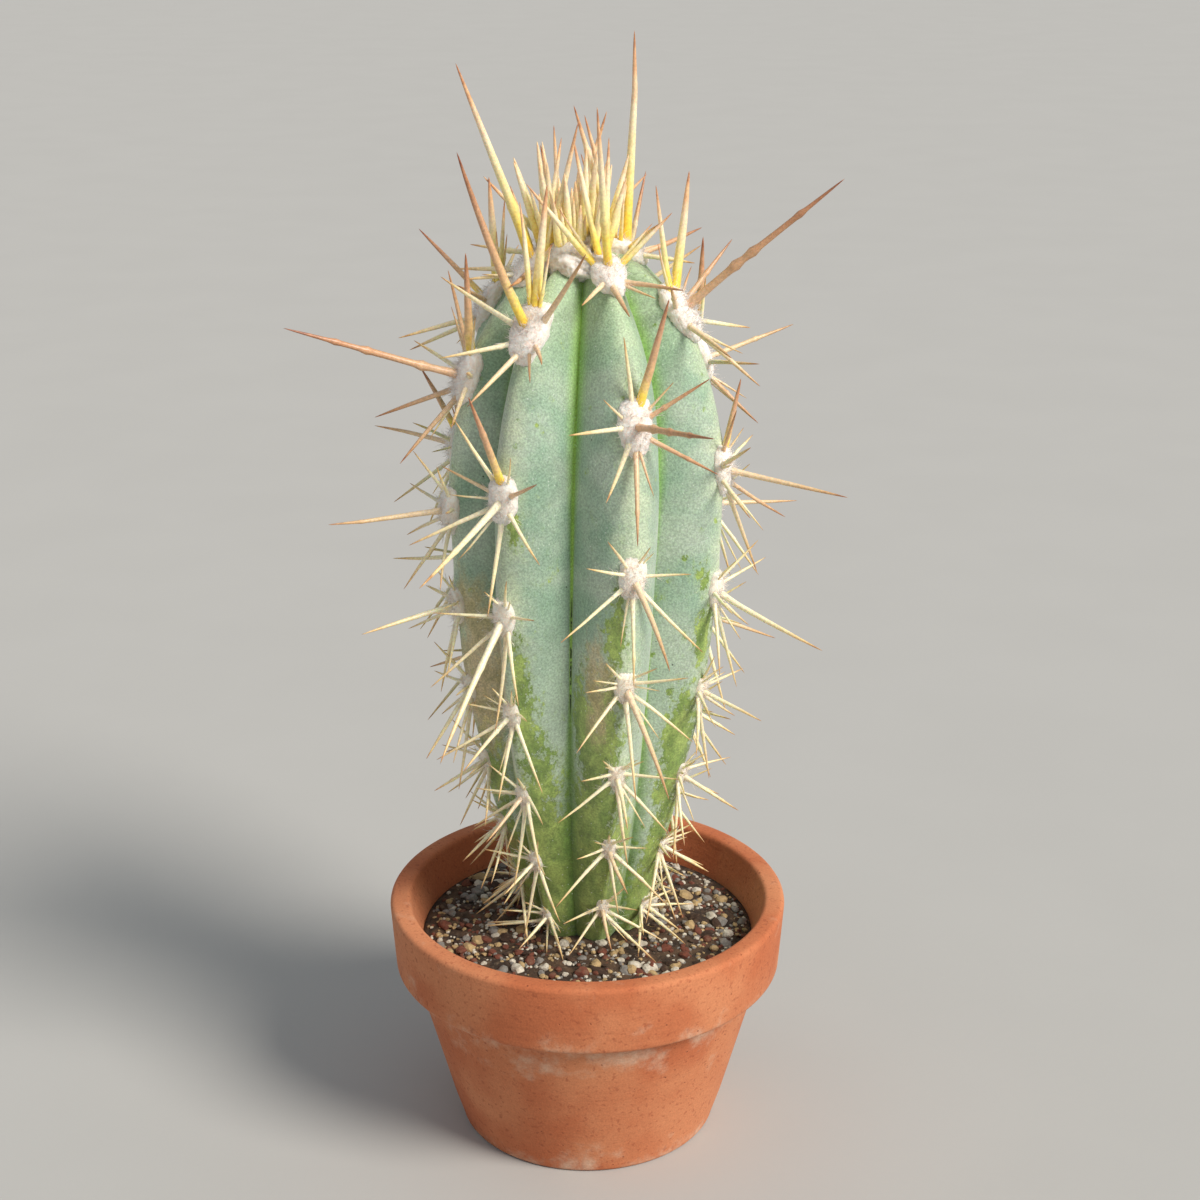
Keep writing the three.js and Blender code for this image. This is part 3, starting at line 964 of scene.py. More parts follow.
@dataclass(frozen=True)
class Form:
    """The stem's form. Heights are above the soil, and a rank counts areoles from the crown."""

    axis: tuple[float, float]
    soil: float = 51.0
    foot_radius: float = 12.5
    shoulder_radius: float = 31.5
    shoulder_height: float = 110.0
    crown_height: float = 162.0
    crown_dip: float = 2.5
    crown_dip_radius: float = 11.0
    tuft_shift: float = 2.2
    rooted_depth: float = 9.0
    rooted_radius: float = 10.0
    foot_groove: float = 2.0
    rib_groove: float = 10.0
    groove_full_height: float = 100.0
    groove_crown_fade: float = 0.6
    rib_twist: float = 0.06
    body_share: float = 0.64
    last_rank: float = 6.2
    rank_start: float = 0.09
    rank_step: float = 0.195
    rank_shortening: float = 0.0085
    above_soil: float = 2.0
    pad: Pad = Pad()

    @property
    def base(self) -> Array:
        """The plant's axis at the top of the soil."""
        return np.array([*self.axis, self.soil])

    @property
    def top(self) -> Array:
        """The middle of the crown."""
        return self.base + (self.crown_height - self.crown_dip) * UP

    @property
    def tuft(self) -> Array:
        """The middle of the crown's wool and young spines, a little to the left of the top."""
        return self.top - np.array([self.tuft_shift, 0.0, 0.0])

    def arc(self, level: Array) -> Array:
        """Gives the angle over the dome, from 0 at the shoulder to a right angle at the top."""
        return np.clip((level - self.body_share) / (1 - self.body_share), 0, 1) * math.pi / 2

    def crest(self, level: Array) -> tuple[Array, Array, Array]:
        """Follows a rib's crest.

        Args:
            level: 0 at the soil to 1 at the crown's centre.

        Returns:
            The radius, the height and the tilt of the outward direction in degrees.
        """
        climb = np.minimum(level / self.body_share, 1) * math.pi / 2
        swell = self.shoulder_radius - self.foot_radius
        slope = swell * np.cos(climb) * math.pi / 2 / self.shoulder_height
        arc = self.arc(level)
        dome = self.crown_height - self.shoulder_height
        over = self.shoulder_radius * np.cos(arc)
        dip = self.crown_dip * np.maximum(0, 1 - over / self.crown_dip_radius) ** 2
        body = level < self.body_share
        risen = self.shoulder_height * level / self.body_share
        radius = np.where(body, self.foot_radius + swell * np.sin(climb), over)
        height = np.where(body, risen, self.shoulder_height + dome * np.sin(arc) - dip)
        over_tilt = np.arctan2(self.shoulder_radius * np.sin(arc), dome * np.cos(arc))
        return radius, height, np.degrees(np.where(body, -np.arctan(slope), over_tilt))

    def groove(self, level: Array) -> Array:
        """Gives the depth of the grooves.

        Args:
            level: 0 at the soil to 1 at the crown's centre.

        Returns:
            How far they lie in from the crests.
        """
        height = self.shoulder_height * np.minimum(level / self.body_share, 1)
        below = mix(self.foot_groove, self.rib_groove, ease(height, 0, self.groove_full_height))
        above = self.rib_groove * np.maximum(0, np.cos(self.arc(level))) ** self.groove_crown_fade
        return np.where(level < self.body_share, below, above)

    def round_(self, rib: Array, phase: Array, height: Array) -> Array:
        """Gives the azimuth of a place on a rib.

        Args:
            rib: The rib's number.
            phase: -1 to 1 across the rib, from groove to groove.
            height: Height above the soil.

        Returns:
            The azimuth in degrees.
        """
        azimuths = np.array([one.azimuth for one in RIBS], dtype=float)
        step = np.where(phase < 0, -1, 1)
        gap = (step * (azimuths[(rib + step) % len(RIBS)] - azimuths[rib])) % 360 / 2
        return azimuths[rib] + phase * gap + self.rib_twist * (height - self.shoulder_height / 2)

    def skin(self, rib: Array, phase: Array, level: Array) -> tuple[Array, Array, Array, Array]:
        """Finds points on the skin.

        Args:
            rib: The rib's number.
            phase: -1 to 1 across the rib.
            level: 0 at the soil to 1 at the crown's centre.

        Returns:
            The points, the outward directions of the crest there, the azimuths and heights.
        """
        radius, height, tilt = self.crest(level)
        azimuth = self.round_(rib, phase, height)
        outward = heading(azimuth, tilt)
        places = heading(azimuth) * radius[..., None]
        places[..., 2] = height
        places -= outward * (self.groove(level) * (1 - np.cos(phase * math.pi / 2)))[..., None]
        return places + self.base, outward, azimuth, height

    def areoles(self) -> list[Areole]:
        """Places the areoles.

        Returns:
            All of them, rib by rib and from the crown down.
        """
        made = []
        for rib, one in enumerate(RIBS):
            order = 0
            while one.first + one.step * order < self.last_rank:
                rank = one.first + one.step * order
                down = self.rank_start + self.rank_step * rank - self.rank_shortening * rank * rank
                place, outward, azimuth, _ = self.skin(np.array(rib), np.array(0.0), np.array(1 - down))
                side = heading(azimuth + 90)
                made.append(Areole(rib, order, rank, place, side, np.cross(outward, side), outward))
                order += 1
        return made

    def clear(self, root: Array, direction: Array, length: float) -> Array:
        """Bends a direction up where a spine would run into the soil.

        Args:
            root: Where the spine starts.
            direction: Where it points.
            length: How long it is.

        Returns:
            The direction that it grows in.
        """
        lowest = (self.soil + self.above_soil - root[2]) / length
        if direction[2] >= lowest:
            return direction
        level = unit(np.array([direction[0], direction[1], 0.0]))
        return level * math.sqrt(1 - lowest * lowest) + lowest * UP


@dataclass(frozen=True)
class Relief:
    """The low relief on the ribs: waves, a keel low down, and a swelling at each areole with a
    crease above the young ones."""

    areoles: list[Areole]
    waviness: float = 0.35
    wave: float = 16.0
    ripple: float = 5.0
    ripple_share: float = 0.35
    groove_fade: float = 0.1
    keel: float = 1.1
    keel_width: float = 0.2
    keel_full_height: float = 55.0
    keel_last_height: float = 120.0
    swell: float = 1.1
    swell_beside: float = 6.0
    swell_below: float = 6.5
    swell_above: float = 11.0
    swell_through: float = 12.0
    fold: float = 0.6
    fold_last_rank: float = 0.8
    fold_above: float = 3.0
    fold_slope: float = 0.35
    fold_width: float = 1.3
    fold_reach: float = 9.0

    def raised(self, places: Array, phase: Array, height: Array) -> Array:
        """Gives how far points stand out.

        Args:
            places: The points on the skin.
            phase: Where they lie across their ribs.
            height: Their heights.

        Returns:
            Millimetres for each point.
        """
        ripples = self.ripple_share * lumps(places, self.ripple, 7.0)
        raised = self.waviness * (lumps(places, self.wave) + ripples)
        keel = self.keel * np.exp(-np.abs(phase) / self.keel_width)
        keel *= 1 - ease(height, self.keel_full_height, self.keel_last_height)
        for areole in self.areoles:
            away = places - areole.place
            beside, above, off = (away @ axis for axis in (areole.side, areole.up, areole.outward))
            size, near = areole.scale, bell(off, self.swell_through)
            tall = np.where(above < 0, self.swell_below, self.swell_above) * size
            close = bell(beside, self.swell_beside * size) * bell(above, tall) * near
            raised += self.swell * mix(size, 1, 0.3) * close
            keel *= 1 - close

            # A young areole has a crease in the rib above it, like a shallow V.
            if areole.rank < self.fold_last_rank:
                past = above - self.fold_above - self.fold_slope * np.abs(beside)
                raised -= self.fold * (bell(past, self.fold_width) * bell(beside, self.fold_reach) * near)
        return (raised + keel) * np.clip((1 - np.abs(phase)) / self.groove_fade, 0, 1)


@dataclass(frozen=True)
class Wear:
    """Where the skin has lost its wax, and where it has aged."""

    foot: float = 0.4
    foot_heights: tuple[float, float] = (8.0, 85.0)
    flank: float = 0.16
    flank_phase: float = 0.3
    flank_width: float = 0.35
    flank_heights: tuple[float, float] = (45.0, 95.0)

    def marked(self, marks: tuple[Mark, ...], rib: Array, phase: Array, height: Array) -> Array:
        """Adds up marks on the skin.

        Args:
            marks: The marks.
            rib: Each point's rib.
            phase: Where it lies across the rib.
            height: Its height.

        Returns:
            Their strength at each point.
        """
        total = np.zeros(len(rib))
        for mark in marks:
            near = bell(phase - mark.phase, mark.wide) * bell(height - mark.height, mark.tall)
            total += mark.strength * near * (rib == mark.rib)
        return total

    def worn(self, rib: Array, phase: Array, height: Array) -> Array:
        """Gives the loss of wax: at the foot, beside the crests up to half height, and in marks.

        Args:
            rib: Each point's rib.
            phase: Where it lies across the rib.
            height: Its height.

        Returns:
            The loss at each point.
        """
        flank = bell(np.abs(phase) - self.flank_phase, self.flank_width)
        flank = flank * (1 - ease(height, *self.flank_heights))
        foot = 1 - ease(height, *self.foot_heights)
        return self.foot * foot + self.flank * flank + self.marked(WORN, rib, phase, height)


@dataclass(frozen=True)
class Stem:
    """The stem's skin: lobed ribs with sharp grooves between, closed at its crown and foot."""

    form: Form
    relief: Relief
    wear: Wear
    columns: int = 32
    column_crowding: float = 0.7
    body_rows: int = 170
    dome_rows: int = 90
    top_level: float = 0.998
    neck_depth: float = 3.0
    neck_share: float = 0.96

    def make(self) -> bpy.types.Object:
        """Makes the piece.

        Returns:
            The stem.
        """
        form = self.form

        # The columns crowd towards the grooves, where the skin turns sharply.
        share = np.linspace(-1, 1, self.columns, endpoint=False)
        phases = np.tile(mix(share, np.sin(share * math.pi / 2), self.column_crowding), len(RIBS))
        ribs = np.repeat(np.arange(len(RIBS)), self.columns)
        body = np.linspace(0, form.body_share, self.body_rows, endpoint=False)
        levels = np.concatenate([body, np.linspace(form.body_share, self.top_level, self.dome_rows)])
        level, phase = np.meshgrid(levels, phases, indexing="ij")
        rib = np.broadcast_to(ribs, level.shape)
        places, outward, _, height = form.skin(rib, phase, level)
        places, outward = places.reshape(-1, 3), outward.reshape(-1, 3)
        rib, phase, height = rib.reshape(-1), phase.reshape(-1), height.reshape(-1)
        places = places + outward * self.relief.raised(places, phase, height)[:, None]

        # Under the soil the stem narrows to its roots, and both ends are closed.
        columns = len(phases)
        below = places[:columns] * np.array([1.0, 1.0, 0.0])
        middle = np.array([*form.axis, 0.0])
        rooted = form.rooted_radius / form.foot_radius
        roots = [
            middle + (below - middle) * rooted + (form.soil - form.rooted_depth) * UP,
            middle + (below - middle) * self.neck_share + (form.soil - self.neck_depth) * UP,
        ]
        grid = np.concatenate([*roots, places])
        rows = len(grid) // columns
        faces = rings(rows, columns).tolist()
        bottom, top, last = len(grid), len(grid) + 1, (rows - 1) * columns
        for column in range(columns):
            beside = (column + 1) % columns
            faces.append([bottom, beside, column])
            faces.append([last + column, last + beside, top])

        def whole(values: Array) -> Array:
            """Extends values to the points under the soil and at the two ends."""
            return np.concatenate([np.tile(values[:columns], len(roots)), values, values[[0, -1]]])

        made = Gathered()
        made.add(
            np.vstack([grid, middle + (form.soil - form.rooted_depth) * UP, form.top]),
            faces,
            inward=whole(np.abs(phase)),
            height=whole(height / form.crown_height),
            worn=whole(self.wear.worn(rib, phase, height)),
            old=whole(self.wear.marked(AGED, rib, phase, height)),
        )
        return made.piece("stem", WaxySkin().make(), "cactus", "skin")


@dataclass(frozen=True)
class Spine:
    """One spine, from where it leaves the skin to its tip: its share of the young colours and
    of the brown ones, its knots, and how far along its colours the tip comes."""

    root: Array
    direction: Array
    length: float
    radius: float
    seed: int
    youth: float = 0.0
    brown: float = 0.0
    knots: int = 1
    ripe: float = 1.0


@dataclass(frozen=True)
class Leaders:
    """The stoutest spine of each areole. Down the stem they turn from upright to hanging."""

    form: Form
    crown_rise: float = 85.0
    foot_rise: float = -30.0
    rise_fall: float = 0.83
    rise_spread: float = 8.0
    crown_length: float = 46.0
    foot_length: float = 8.0
    length_fall: float = 0.42
    length_spread: float = 2.0
    turn_spread: float = 12.0
    gold_rank: float = 0.6
    tan_share: float = 0.3
    slimmest: float = 0.45
    taper: float = 0.016
    old_stoutness: float = 0.76
    young_stoutness: float = 0.88
    brown_knots: int = 3

    def spine(self, areole: Areole) -> Spine:
        """Makes an areole's leader, as noted for its rib or else by the rule.

        Args:
            areole: The areole.

        Returns:
            The spine.
        """
        noted = RIBS[areole.rib].leaders
        rank, seed = areole.rank, areole.seed
        if areole.order < len(noted):
            turn, rise, length, tone = noted[areole.order]
        else:
            turn = self.turn_spread * spread(seed + 1)
            rise = mix(self.foot_rise, self.crown_rise, math.exp(-self.rise_fall * rank * rank))
            rise += self.rise_spread * spread(seed)
            length = mix(self.foot_length, self.crown_length, math.exp(-self.length_fall * rank))
            length += self.length_spread * spread(seed + 2)
            dull = Tone.TAN if draw(seed + 21) < self.tan_share else Tone.STRAW
            tone = Tone.GOLD if rank < self.gold_rank else dull
        direction = heading(RIBS[areole.rib].azimuth + turn, rise)
        direction = self.form.clear(areole.root, direction, length)
        youth, brown = tone.value
        stoutness = mix(self.old_stoutness, self.young_stoutness, youth)
        radius = stoutness * (self.slimmest + self.taper * length)
        knots = self.brown_knots if tone is Tone.BROWN else 1
        return Spine(areole.root, direction, length, radius, seed, youth, brown, knots)


@dataclass(frozen=True)
class Radials:
    """The ring of spines round each leader, long above on a young areole and below on an old
    one. The top one of a young areole is bold, and the slender ones come last."""

    form: Form
    stout_count: int = 7
    slender_count: int = 3
    place: float = 0.5
    clock_spread: float = 14.0
    slender_clock_spread: float = 35.0
    lift: float = 27.0
    lift_spread: float = 0.5
    length: float = 16.0
    aging: float = 0.1
    unevenness: float = 0.25
    slender_length: float = 0.6
    old_rank: float = 2.0
    young_upper_gain: float = 0.8
    young_upper_rise: float = 1.2
    old_lower_gain: float = 0.65
    old_upper_loss: float = 0.3
    root_share: float = 0.6
    slimmest: float = 0.3
    taper: float = 0.014
    old_stoutness: float = 0.84
    young_stoutness: float = 1.2
    slender_stoutness: float = 0.75
    bold_first_rank: float = 0.3
    bold_long_rank: float = 0.7
    bold_last_rank: float = 1.6
    bold_place: float = 0.2
    bold_length: float = 1.35
    bold_stoutness: float = 1.5

    def root(self, areole: Areole, clock: float) -> Array:
        """Finds where a spine starts, towards the edge of the areole's pad.

        Args:
            areole: The areole.
            clock: Where on the ring it stands, in radians clockwise from the top.

        Returns:
            The place.
        """
        pad = self.form.pad
        above = self.root_share * pad.half_height * areole.scale * math.cos(clock) * areole.up
        beside = self.root_share * pad.half_width * areole.scale * math.sin(clock) * areole.side
        return areole.root + above + beside

    def tones(self, rank: float, high: float, bold: bool, share: float) -> tuple[float, float]:
        """Chooses a spine's colours. They are yellow at the crown, and brown here and there.

        Args:
            rank: The areole's rank.
            high: How far up its ring the spine stands, from 0 to 1.
            bold: Whether it is the bold one.
            share: The draw for how brown it is.

        Returns:
            Its share of the young colours and of the brown ones.
        """
        if bold:
            return 1.0, 0.15 if rank < self.bold_long_rank else 0.8
        young = rank < 0.7 and high > 0.5 or rank < 0.2 and high > 0
        brown = 0.2 * share if young or rank > self.bold_last_rank else 0.9 * share**1.7
        return float(young), brown

    def spine(self, areole: Areole, number: int) -> Spine:
        """Makes one of the ring's spines.

        Args:
            areole: The areole.
            number: Its number, clockwise from the top.

        Returns:
            The spine.
        """
        rank, own = areole.rank, areole.seed + 5 * number
        slender = number >= self.stout_count
        count = self.slender_count if slender else self.stout_count
        bold = number == 0 and self.bold_first_rank < rank < self.bold_last_rank
        step = number - self.stout_count if slender else number
        place = step + (self.bold_place if bold else self.place)
        loose = self.slender_clock_spread if slender else self.clock_spread
        clock = math.radians(360 * place / count + loose * spread(own + 3))
        lift = math.radians(self.lift * (1 + self.lift_spread * spread(own + 4)))
        high, low = max(0.0, math.cos(clock)), max(0.0, -math.cos(clock))
        youth = max(0.0, 1 - rank / self.old_rank)

        gain = (1 - youth) * (self.old_lower_gain * low - self.old_upper_loss * high)
        gain = self.young_upper_gain * youth * high + gain
        length = self.length / (1 + self.aging * rank)
        length = length * (1 + self.unevenness * spread(own + 5) + gain)
        length = length * (self.slender_length if slender else 1.0)
        if bold and rank > self.bold_long_rank:
            length *= self.bold_length
        direction = (
            areole.up * math.cos(clock) * math.cos(lift)
            + areole.side * math.sin(clock) * math.cos(lift)
            + areole.outward * math.sin(lift)
            + self.young_upper_rise * youth * high * UP
        )
        root = self.root(areole, clock)
        direction = self.form.clear(root, unit(direction), length)
        radius = (self.bold_stoutness if bold else 1.0) * (self.slimmest + self.taper * length)
        radius = radius * mix(self.old_stoutness, self.young_stoutness, youth)
        radius = radius * (self.slender_stoutness if slender else 1.0)
        young, brown = self.tones(rank, high, bold, draw(own + 6))
        return Spine(root, direction, length, radius, own, young, brown)


@dataclass(frozen=True)
class Tuft:
    """The young spines that stand in the crown's wool, set out like a sunflower's seeds."""

    form: Form
    stout_count: int = 30
    slender_count: int = 22
    radius: float = 7.5
    golden_angle: float = 137.5
    length: float = 18.0
    unevenness: float = 0.35
    slender_length: float = 0.7
    thickness: float = 1.1
    slender_thickness: float = 0.75
    lean: float = 2.2
    rise_spread: float = 4.0
    ripe: float = 0.84
    first_seed: int = 9000

    def spines(self) -> list[Spine]:
        """Makes them.

        Returns:
            The spines, the slender ones last.
        """
        made = []
        for number in range(self.stout_count + self.slender_count):
            slender = number >= self.stout_count
            count = self.slender_count if slender else self.stout_count
            step = number + 0.5 - (self.stout_count if slender else 0)
            out = self.radius * math.sqrt(step / count)
            azimuth = self.golden_angle * number
            rise = 90 - self.lean * out + self.rise_spread * spread(number + 7)
            length = self.length * (1 + self.unevenness * spread(number + 9))
            length = length * (self.slender_length if slender else 1.0)
            root = self.form.tuft + heading(azimuth) * out
            direction = heading(azimuth, rise)
            radius = self.slender_thickness if slender else self.thickness
            seed = self.first_seed + number
            made.append(Spine(root, direction, length, radius, seed, youth=1.0, ripe=self.ripe))
        return made


@dataclass(frozen=True)
class Needle:
    """The shape of every spine: tapering and a little bent, with one slight knot or more."""

    sides: int = 7
    root_depth: float = 1.2
    steps: tuple[float, ...] = (0.0, 0.03, 0.07, 0.13, 0.21, 0.31, 0.42, 0.53, 0.64, 0.75, 0.85, 0.93, 0.98)
    taper: float = 0.7
    bluntness: float = 0.03
    old_flare: float = 0.4
    young_flare: float = 0.15
    flare_length: float = 0.1
    lean: float = 0.022
    kink: float = 0.014
    first_knot: float = 0.25
    last_knot: float = 0.75
    knot_length: float = 0.025
    knot_swell: float = 0.5
    slight_swell: float = 0.45

    def grow(self, spine: Spine, made: Gathered) -> None:
        """Adds one spine's mesh.

        Args:
            spine: The spine.
            made: What it is added to.
        """
        seed, length, count = spine.seed, spine.length, spine.knots
        first, second = across(spine.direction)
        parts = [(knot + draw(seed + 31 + knot)) / count for knot in range(count)]
        knots = [mix(self.first_knot, self.last_knot, part) for part in parts]
        swell = self.knot_swell if count > 1 else self.slight_swell * max(0.0, spread(seed + 32))
        lean = length * self.lean * spread(seed + 33)
        kink = length * self.kink * spread(seed + 34)
        around = [knot + step for knot in knots for step in (-0.03, 0.0, 0.04)]
        share = np.unique(np.round([*self.steps, *around], 3))
        out = share * (length + self.root_depth) - self.root_depth

        thick = spine.radius * ((1 - share**2) ** self.taper * (1 - self.bluntness) + self.bluntness)
        flare = mix(self.old_flare, self.young_flare, spine.youth)
        thick = thick * (1 + flare * bell(np.maximum(out, 0), self.flare_length * length))
        for knot in knots:
            thick = thick * (1 + swell * bell(share - knot, self.knot_length))

        bend = lean * 4 * share * (1 - share)
        turn = kink * np.minimum(share / knots[0], (1 - share) / (1 - knots[0]))
        middle = spine.root + out[:, None] * spine.direction + bend[:, None] * first + turn[:, None] * second
        angle = 2 * math.pi * (np.arange(self.sides) + draw(seed + 35)) / self.sides
        ring = np.cos(angle)[:, None] * first + np.sin(angle)[:, None] * second
        tip = spine.root + length * spine.direction
        places = (middle[:, None] + thick[:, None, None] * ring[None]).reshape(-1, 3)
        faces = rings(len(share), self.sides).tolist()
        end = len(places)
        last = end - self.sides
        faces += [[last + side, last + (side + 1) % self.sides, end] for side in range(self.sides)]
        along = spine.ripe * np.append(np.repeat(share, self.sides), 1.0)
        made.add(np.vstack([places, tip]), faces, along=along, youth=spine.youth, brown=spine.brown)


@dataclass(frozen=True)
class Spines:
    """All the spines: the crown's tuft, and each areole's leader with the ring round it."""

    leaders: Leaders
    radials: Radials
    tuft: Tuft
    needle: Needle
    areoles: list[Areole]

    def all(self) -> list[Spine]:
        """Lists every spine.

        Returns:
            The crown's, and then the areoles'.
        """
        made = self.tuft.spines()
        for areole in self.areoles:
            made.append(self.leaders.spine(areole))
            for number in range(self.radials.stout_count + self.radials.slender_count):
                made.append(self.radials.spine(areole, number))
        return made

    def make(self) -> bpy.types.Object:
        """Makes the piece.

        Returns:
            The spines.
        """
        made = Gathered()
        for spine in self.all():
            self.needle.grow(spine, made)
        return made.piece("spines", SpineHorn().make(), "cactus", "skin")


@dataclass
class Wool:
    """The areoles' wool: crumpled felted pads with loose hairs, and the crown's cushion."""

    form: Form
    areoles: list[Areole]
    spines: Spines
    cushion: float = 1.6
    cushion_number: int = 9
    cushion_hairs: int = 1200
    fine_mesh: int = 5
    plain_mesh: int = 4
    plain_rank: float = 2.2
    squareness: float = 3.0
    taper: float = 0.4
    lump: float = 2.8
    lumpiness: float = 0.12
    folds: tuple[tuple[float, float], ...] = ((1.5, 0.1), (0.75, 0.1), (0.4, 0.07))
    hairs: int = 520
    hair_radius: float = 0.065
    hair_thinning: float = 0.7
    hair_curl: float = 0.6
    hair_length: float = 0.9
    hair_length_spread: float = 1.3
    lying_share: float = 0.75
    collar_hairs: int = 4
    collar_height: float = 2.2
    collar_depth: float = 1.6
    collar_spread: float = 0.45
    collar_length: float = 1.2
    collar_length_spread: float = 0.9
    collar_age: float = 0.5

    def pad(self, areole: Areole, scale: float, divisions: int, made: Gathered) -> None:
        """Adds one pad.

        Args:
            areole: Where it sits.
            scale: Its size against a new areole's.
            divisions: How fine its mesh is.
            made: What it is added to.
        """
        points, faces = ball(divisions)
        places, seed = points * self.form.pad.size(scale), areole.seed + 0.37

        # The pad's outline is a rounded square, drawn out and narrowed towards its foot.
        level = np.hypot(points[:, 0], points[:, 1]) + 1e-9
        beside, above = np.abs(points[:, 0] / level), np.abs(points[:, 1] / level)
        corner = (beside**self.squareness + above**self.squareness) ** (-1 / self.squareness)
        places[:, :2] *= corner[:, None]
        places[:, 0] *= 1 - self.taper * np.maximum(0, -points[:, 1]) ** 1.5

        # Rain has felted it into lumps with sharp folds between, ever finer ones.
        rough = 1 + self.lumpiness * lumps(places, self.lump, seed)
        for fold, depth in self.folds:
            rough += depth * (0.25 - np.abs(lumps(places, fold, seed + fold)))
        fluff = np.clip(points[:, 2], 0, 1)
        made.add(areole.turn(places * rough[:, None]), faces, fluff=fluff, age=areole.age)

    def hair(
        self, root: Array, direction: Array, length: float, seed: float, age: float, made: Gathered
    ) -> None:
        """Adds one short curved hair.

        Args:
            root: Where it starts.
            direction: Where it points at first.
            length: How long it is.
            seed: The number that its draws start from.
            age: How old the wool is.
            made: What it is added to.
        """
        first, second = across(direction)
        curl = first * spread(seed + 1) + second * spread(seed + 2)
        share = np.array([0.0, 0.55])
        bent = self.hair_curl * (share**2)[:, None] * curl
        middle = root + length * (share[:, None] * direction + bent)
        angle = 2 * math.pi * np.arange(3) / 3
        ring = np.cos(angle)[:, None] * first + np.sin(angle)[:, None] * second
        thick = self.hair_radius * (1 - self.hair_thinning * share)
        places = (middle[:, None] + thick[:, None, None] * ring[None]).reshape(-1, 3)
        tip = root + length * (direction + self.hair_curl * curl)
        faces = rings(2, 3).tolist() + [[3, 4, 6], [4, 5, 6], [5, 3, 6]]
        made.add(np.vstack([places, tip]), faces, fluff=1.0, age=age)

    def hairs_on(self, areole: Areole, scale: float, count: int, made: Gathered) -> None:
        """Adds the hairs of one pad, some upright and most of them lying over it.

        Args:
            areole: Where it sits.
            scale: Its size against a new areole's.
            count: How many hairs.
            made: What they are added to.
        """
        size = self.form.pad.size(scale)
        axes = np.stack([areole.side, areole.up, areole.outward])
        for number in range(count):
            seed = areole.seed * 7.1 + 3.3 * number
            clock = 2 * math.pi * draw(seed + 0.3)
            over = math.sqrt(draw(seed + 0.7))
            lift = math.sqrt(max(0.0, 1 - over * over))
            point = np.array([over * math.sin(clock), over * math.cos(clock), lift + 0.05])
            away = unit(point / size + np.array([0.0, 0.0, 0.15]))
            lying = unit(across(away)[0] * spread(seed + 0.5) + across(away)[1] * spread(seed + 0.6))
            away = unit(mix(away, lying, self.lying_share * draw(seed + 0.8)))
            length = self.hair_length + self.hair_length_spread * draw(seed + 0.9)
            length = length * mix(1, scale, 0.4)
            self.hair(areole.turn(0.95 * point * size), away @ axes, length, seed, areole.age, made)

    def collar(self, spine: Spine, made: Gathered) -> None:
        """Adds the hairs that climb a spine's base.

        Args:
            spine: The spine.
            made: What they are added to.
        """
        first, second = across(spine.direction)
        for number in range(self.collar_hairs):
            seed = spine.seed * 3.7 + 1.9 * number
            angle = 2 * math.pi * draw(seed + 0.2)
            outward = first * math.cos(angle) + second * math.sin(angle)
            start = self.collar_height + self.collar_depth * draw(seed + 0.4)
            root = spine.root + start * spine.direction + 1.1 * spine.radius * outward
            away = unit(spine.direction + self.collar_spread * outward)
            length = self.collar_length + self.collar_length_spread * draw(seed + 0.6)
            self.hair(root, away, length, seed, self.collar_age, made)

    def make(self) -> None:
        """Makes the two pieces: the felted pads and the loose hairs."""
        centre = self.form.tuft
        crown = Areole(self.cushion_number, 0, 0.0, centre, heading(90.0), heading(180.0), UP)
        pads, loose = Gathered(), Gathered()
        self.pad(crown, self.cushion, self.fine_mesh, pads)
        self.hairs_on(crown, self.cushion, self.cushion_hairs, loose)
        for areole in self.areoles:
            mesh = self.fine_mesh if areole.rank < self.plain_rank else self.plain_mesh
            self.pad(areole, areole.scale, mesh, pads)
            self.hairs_on(areole, areole.scale, round(self.hairs * areole.scale**2), loose)
        for spine in self.spines.all():
            self.collar(spine, loose)
        finish = FeltedWool().make()
        pads.piece("areole_wool", finish, "cactus", "skin")
        loose.piece("areole_hairs", finish, "cactus", "skin")


# The pot and what fills it


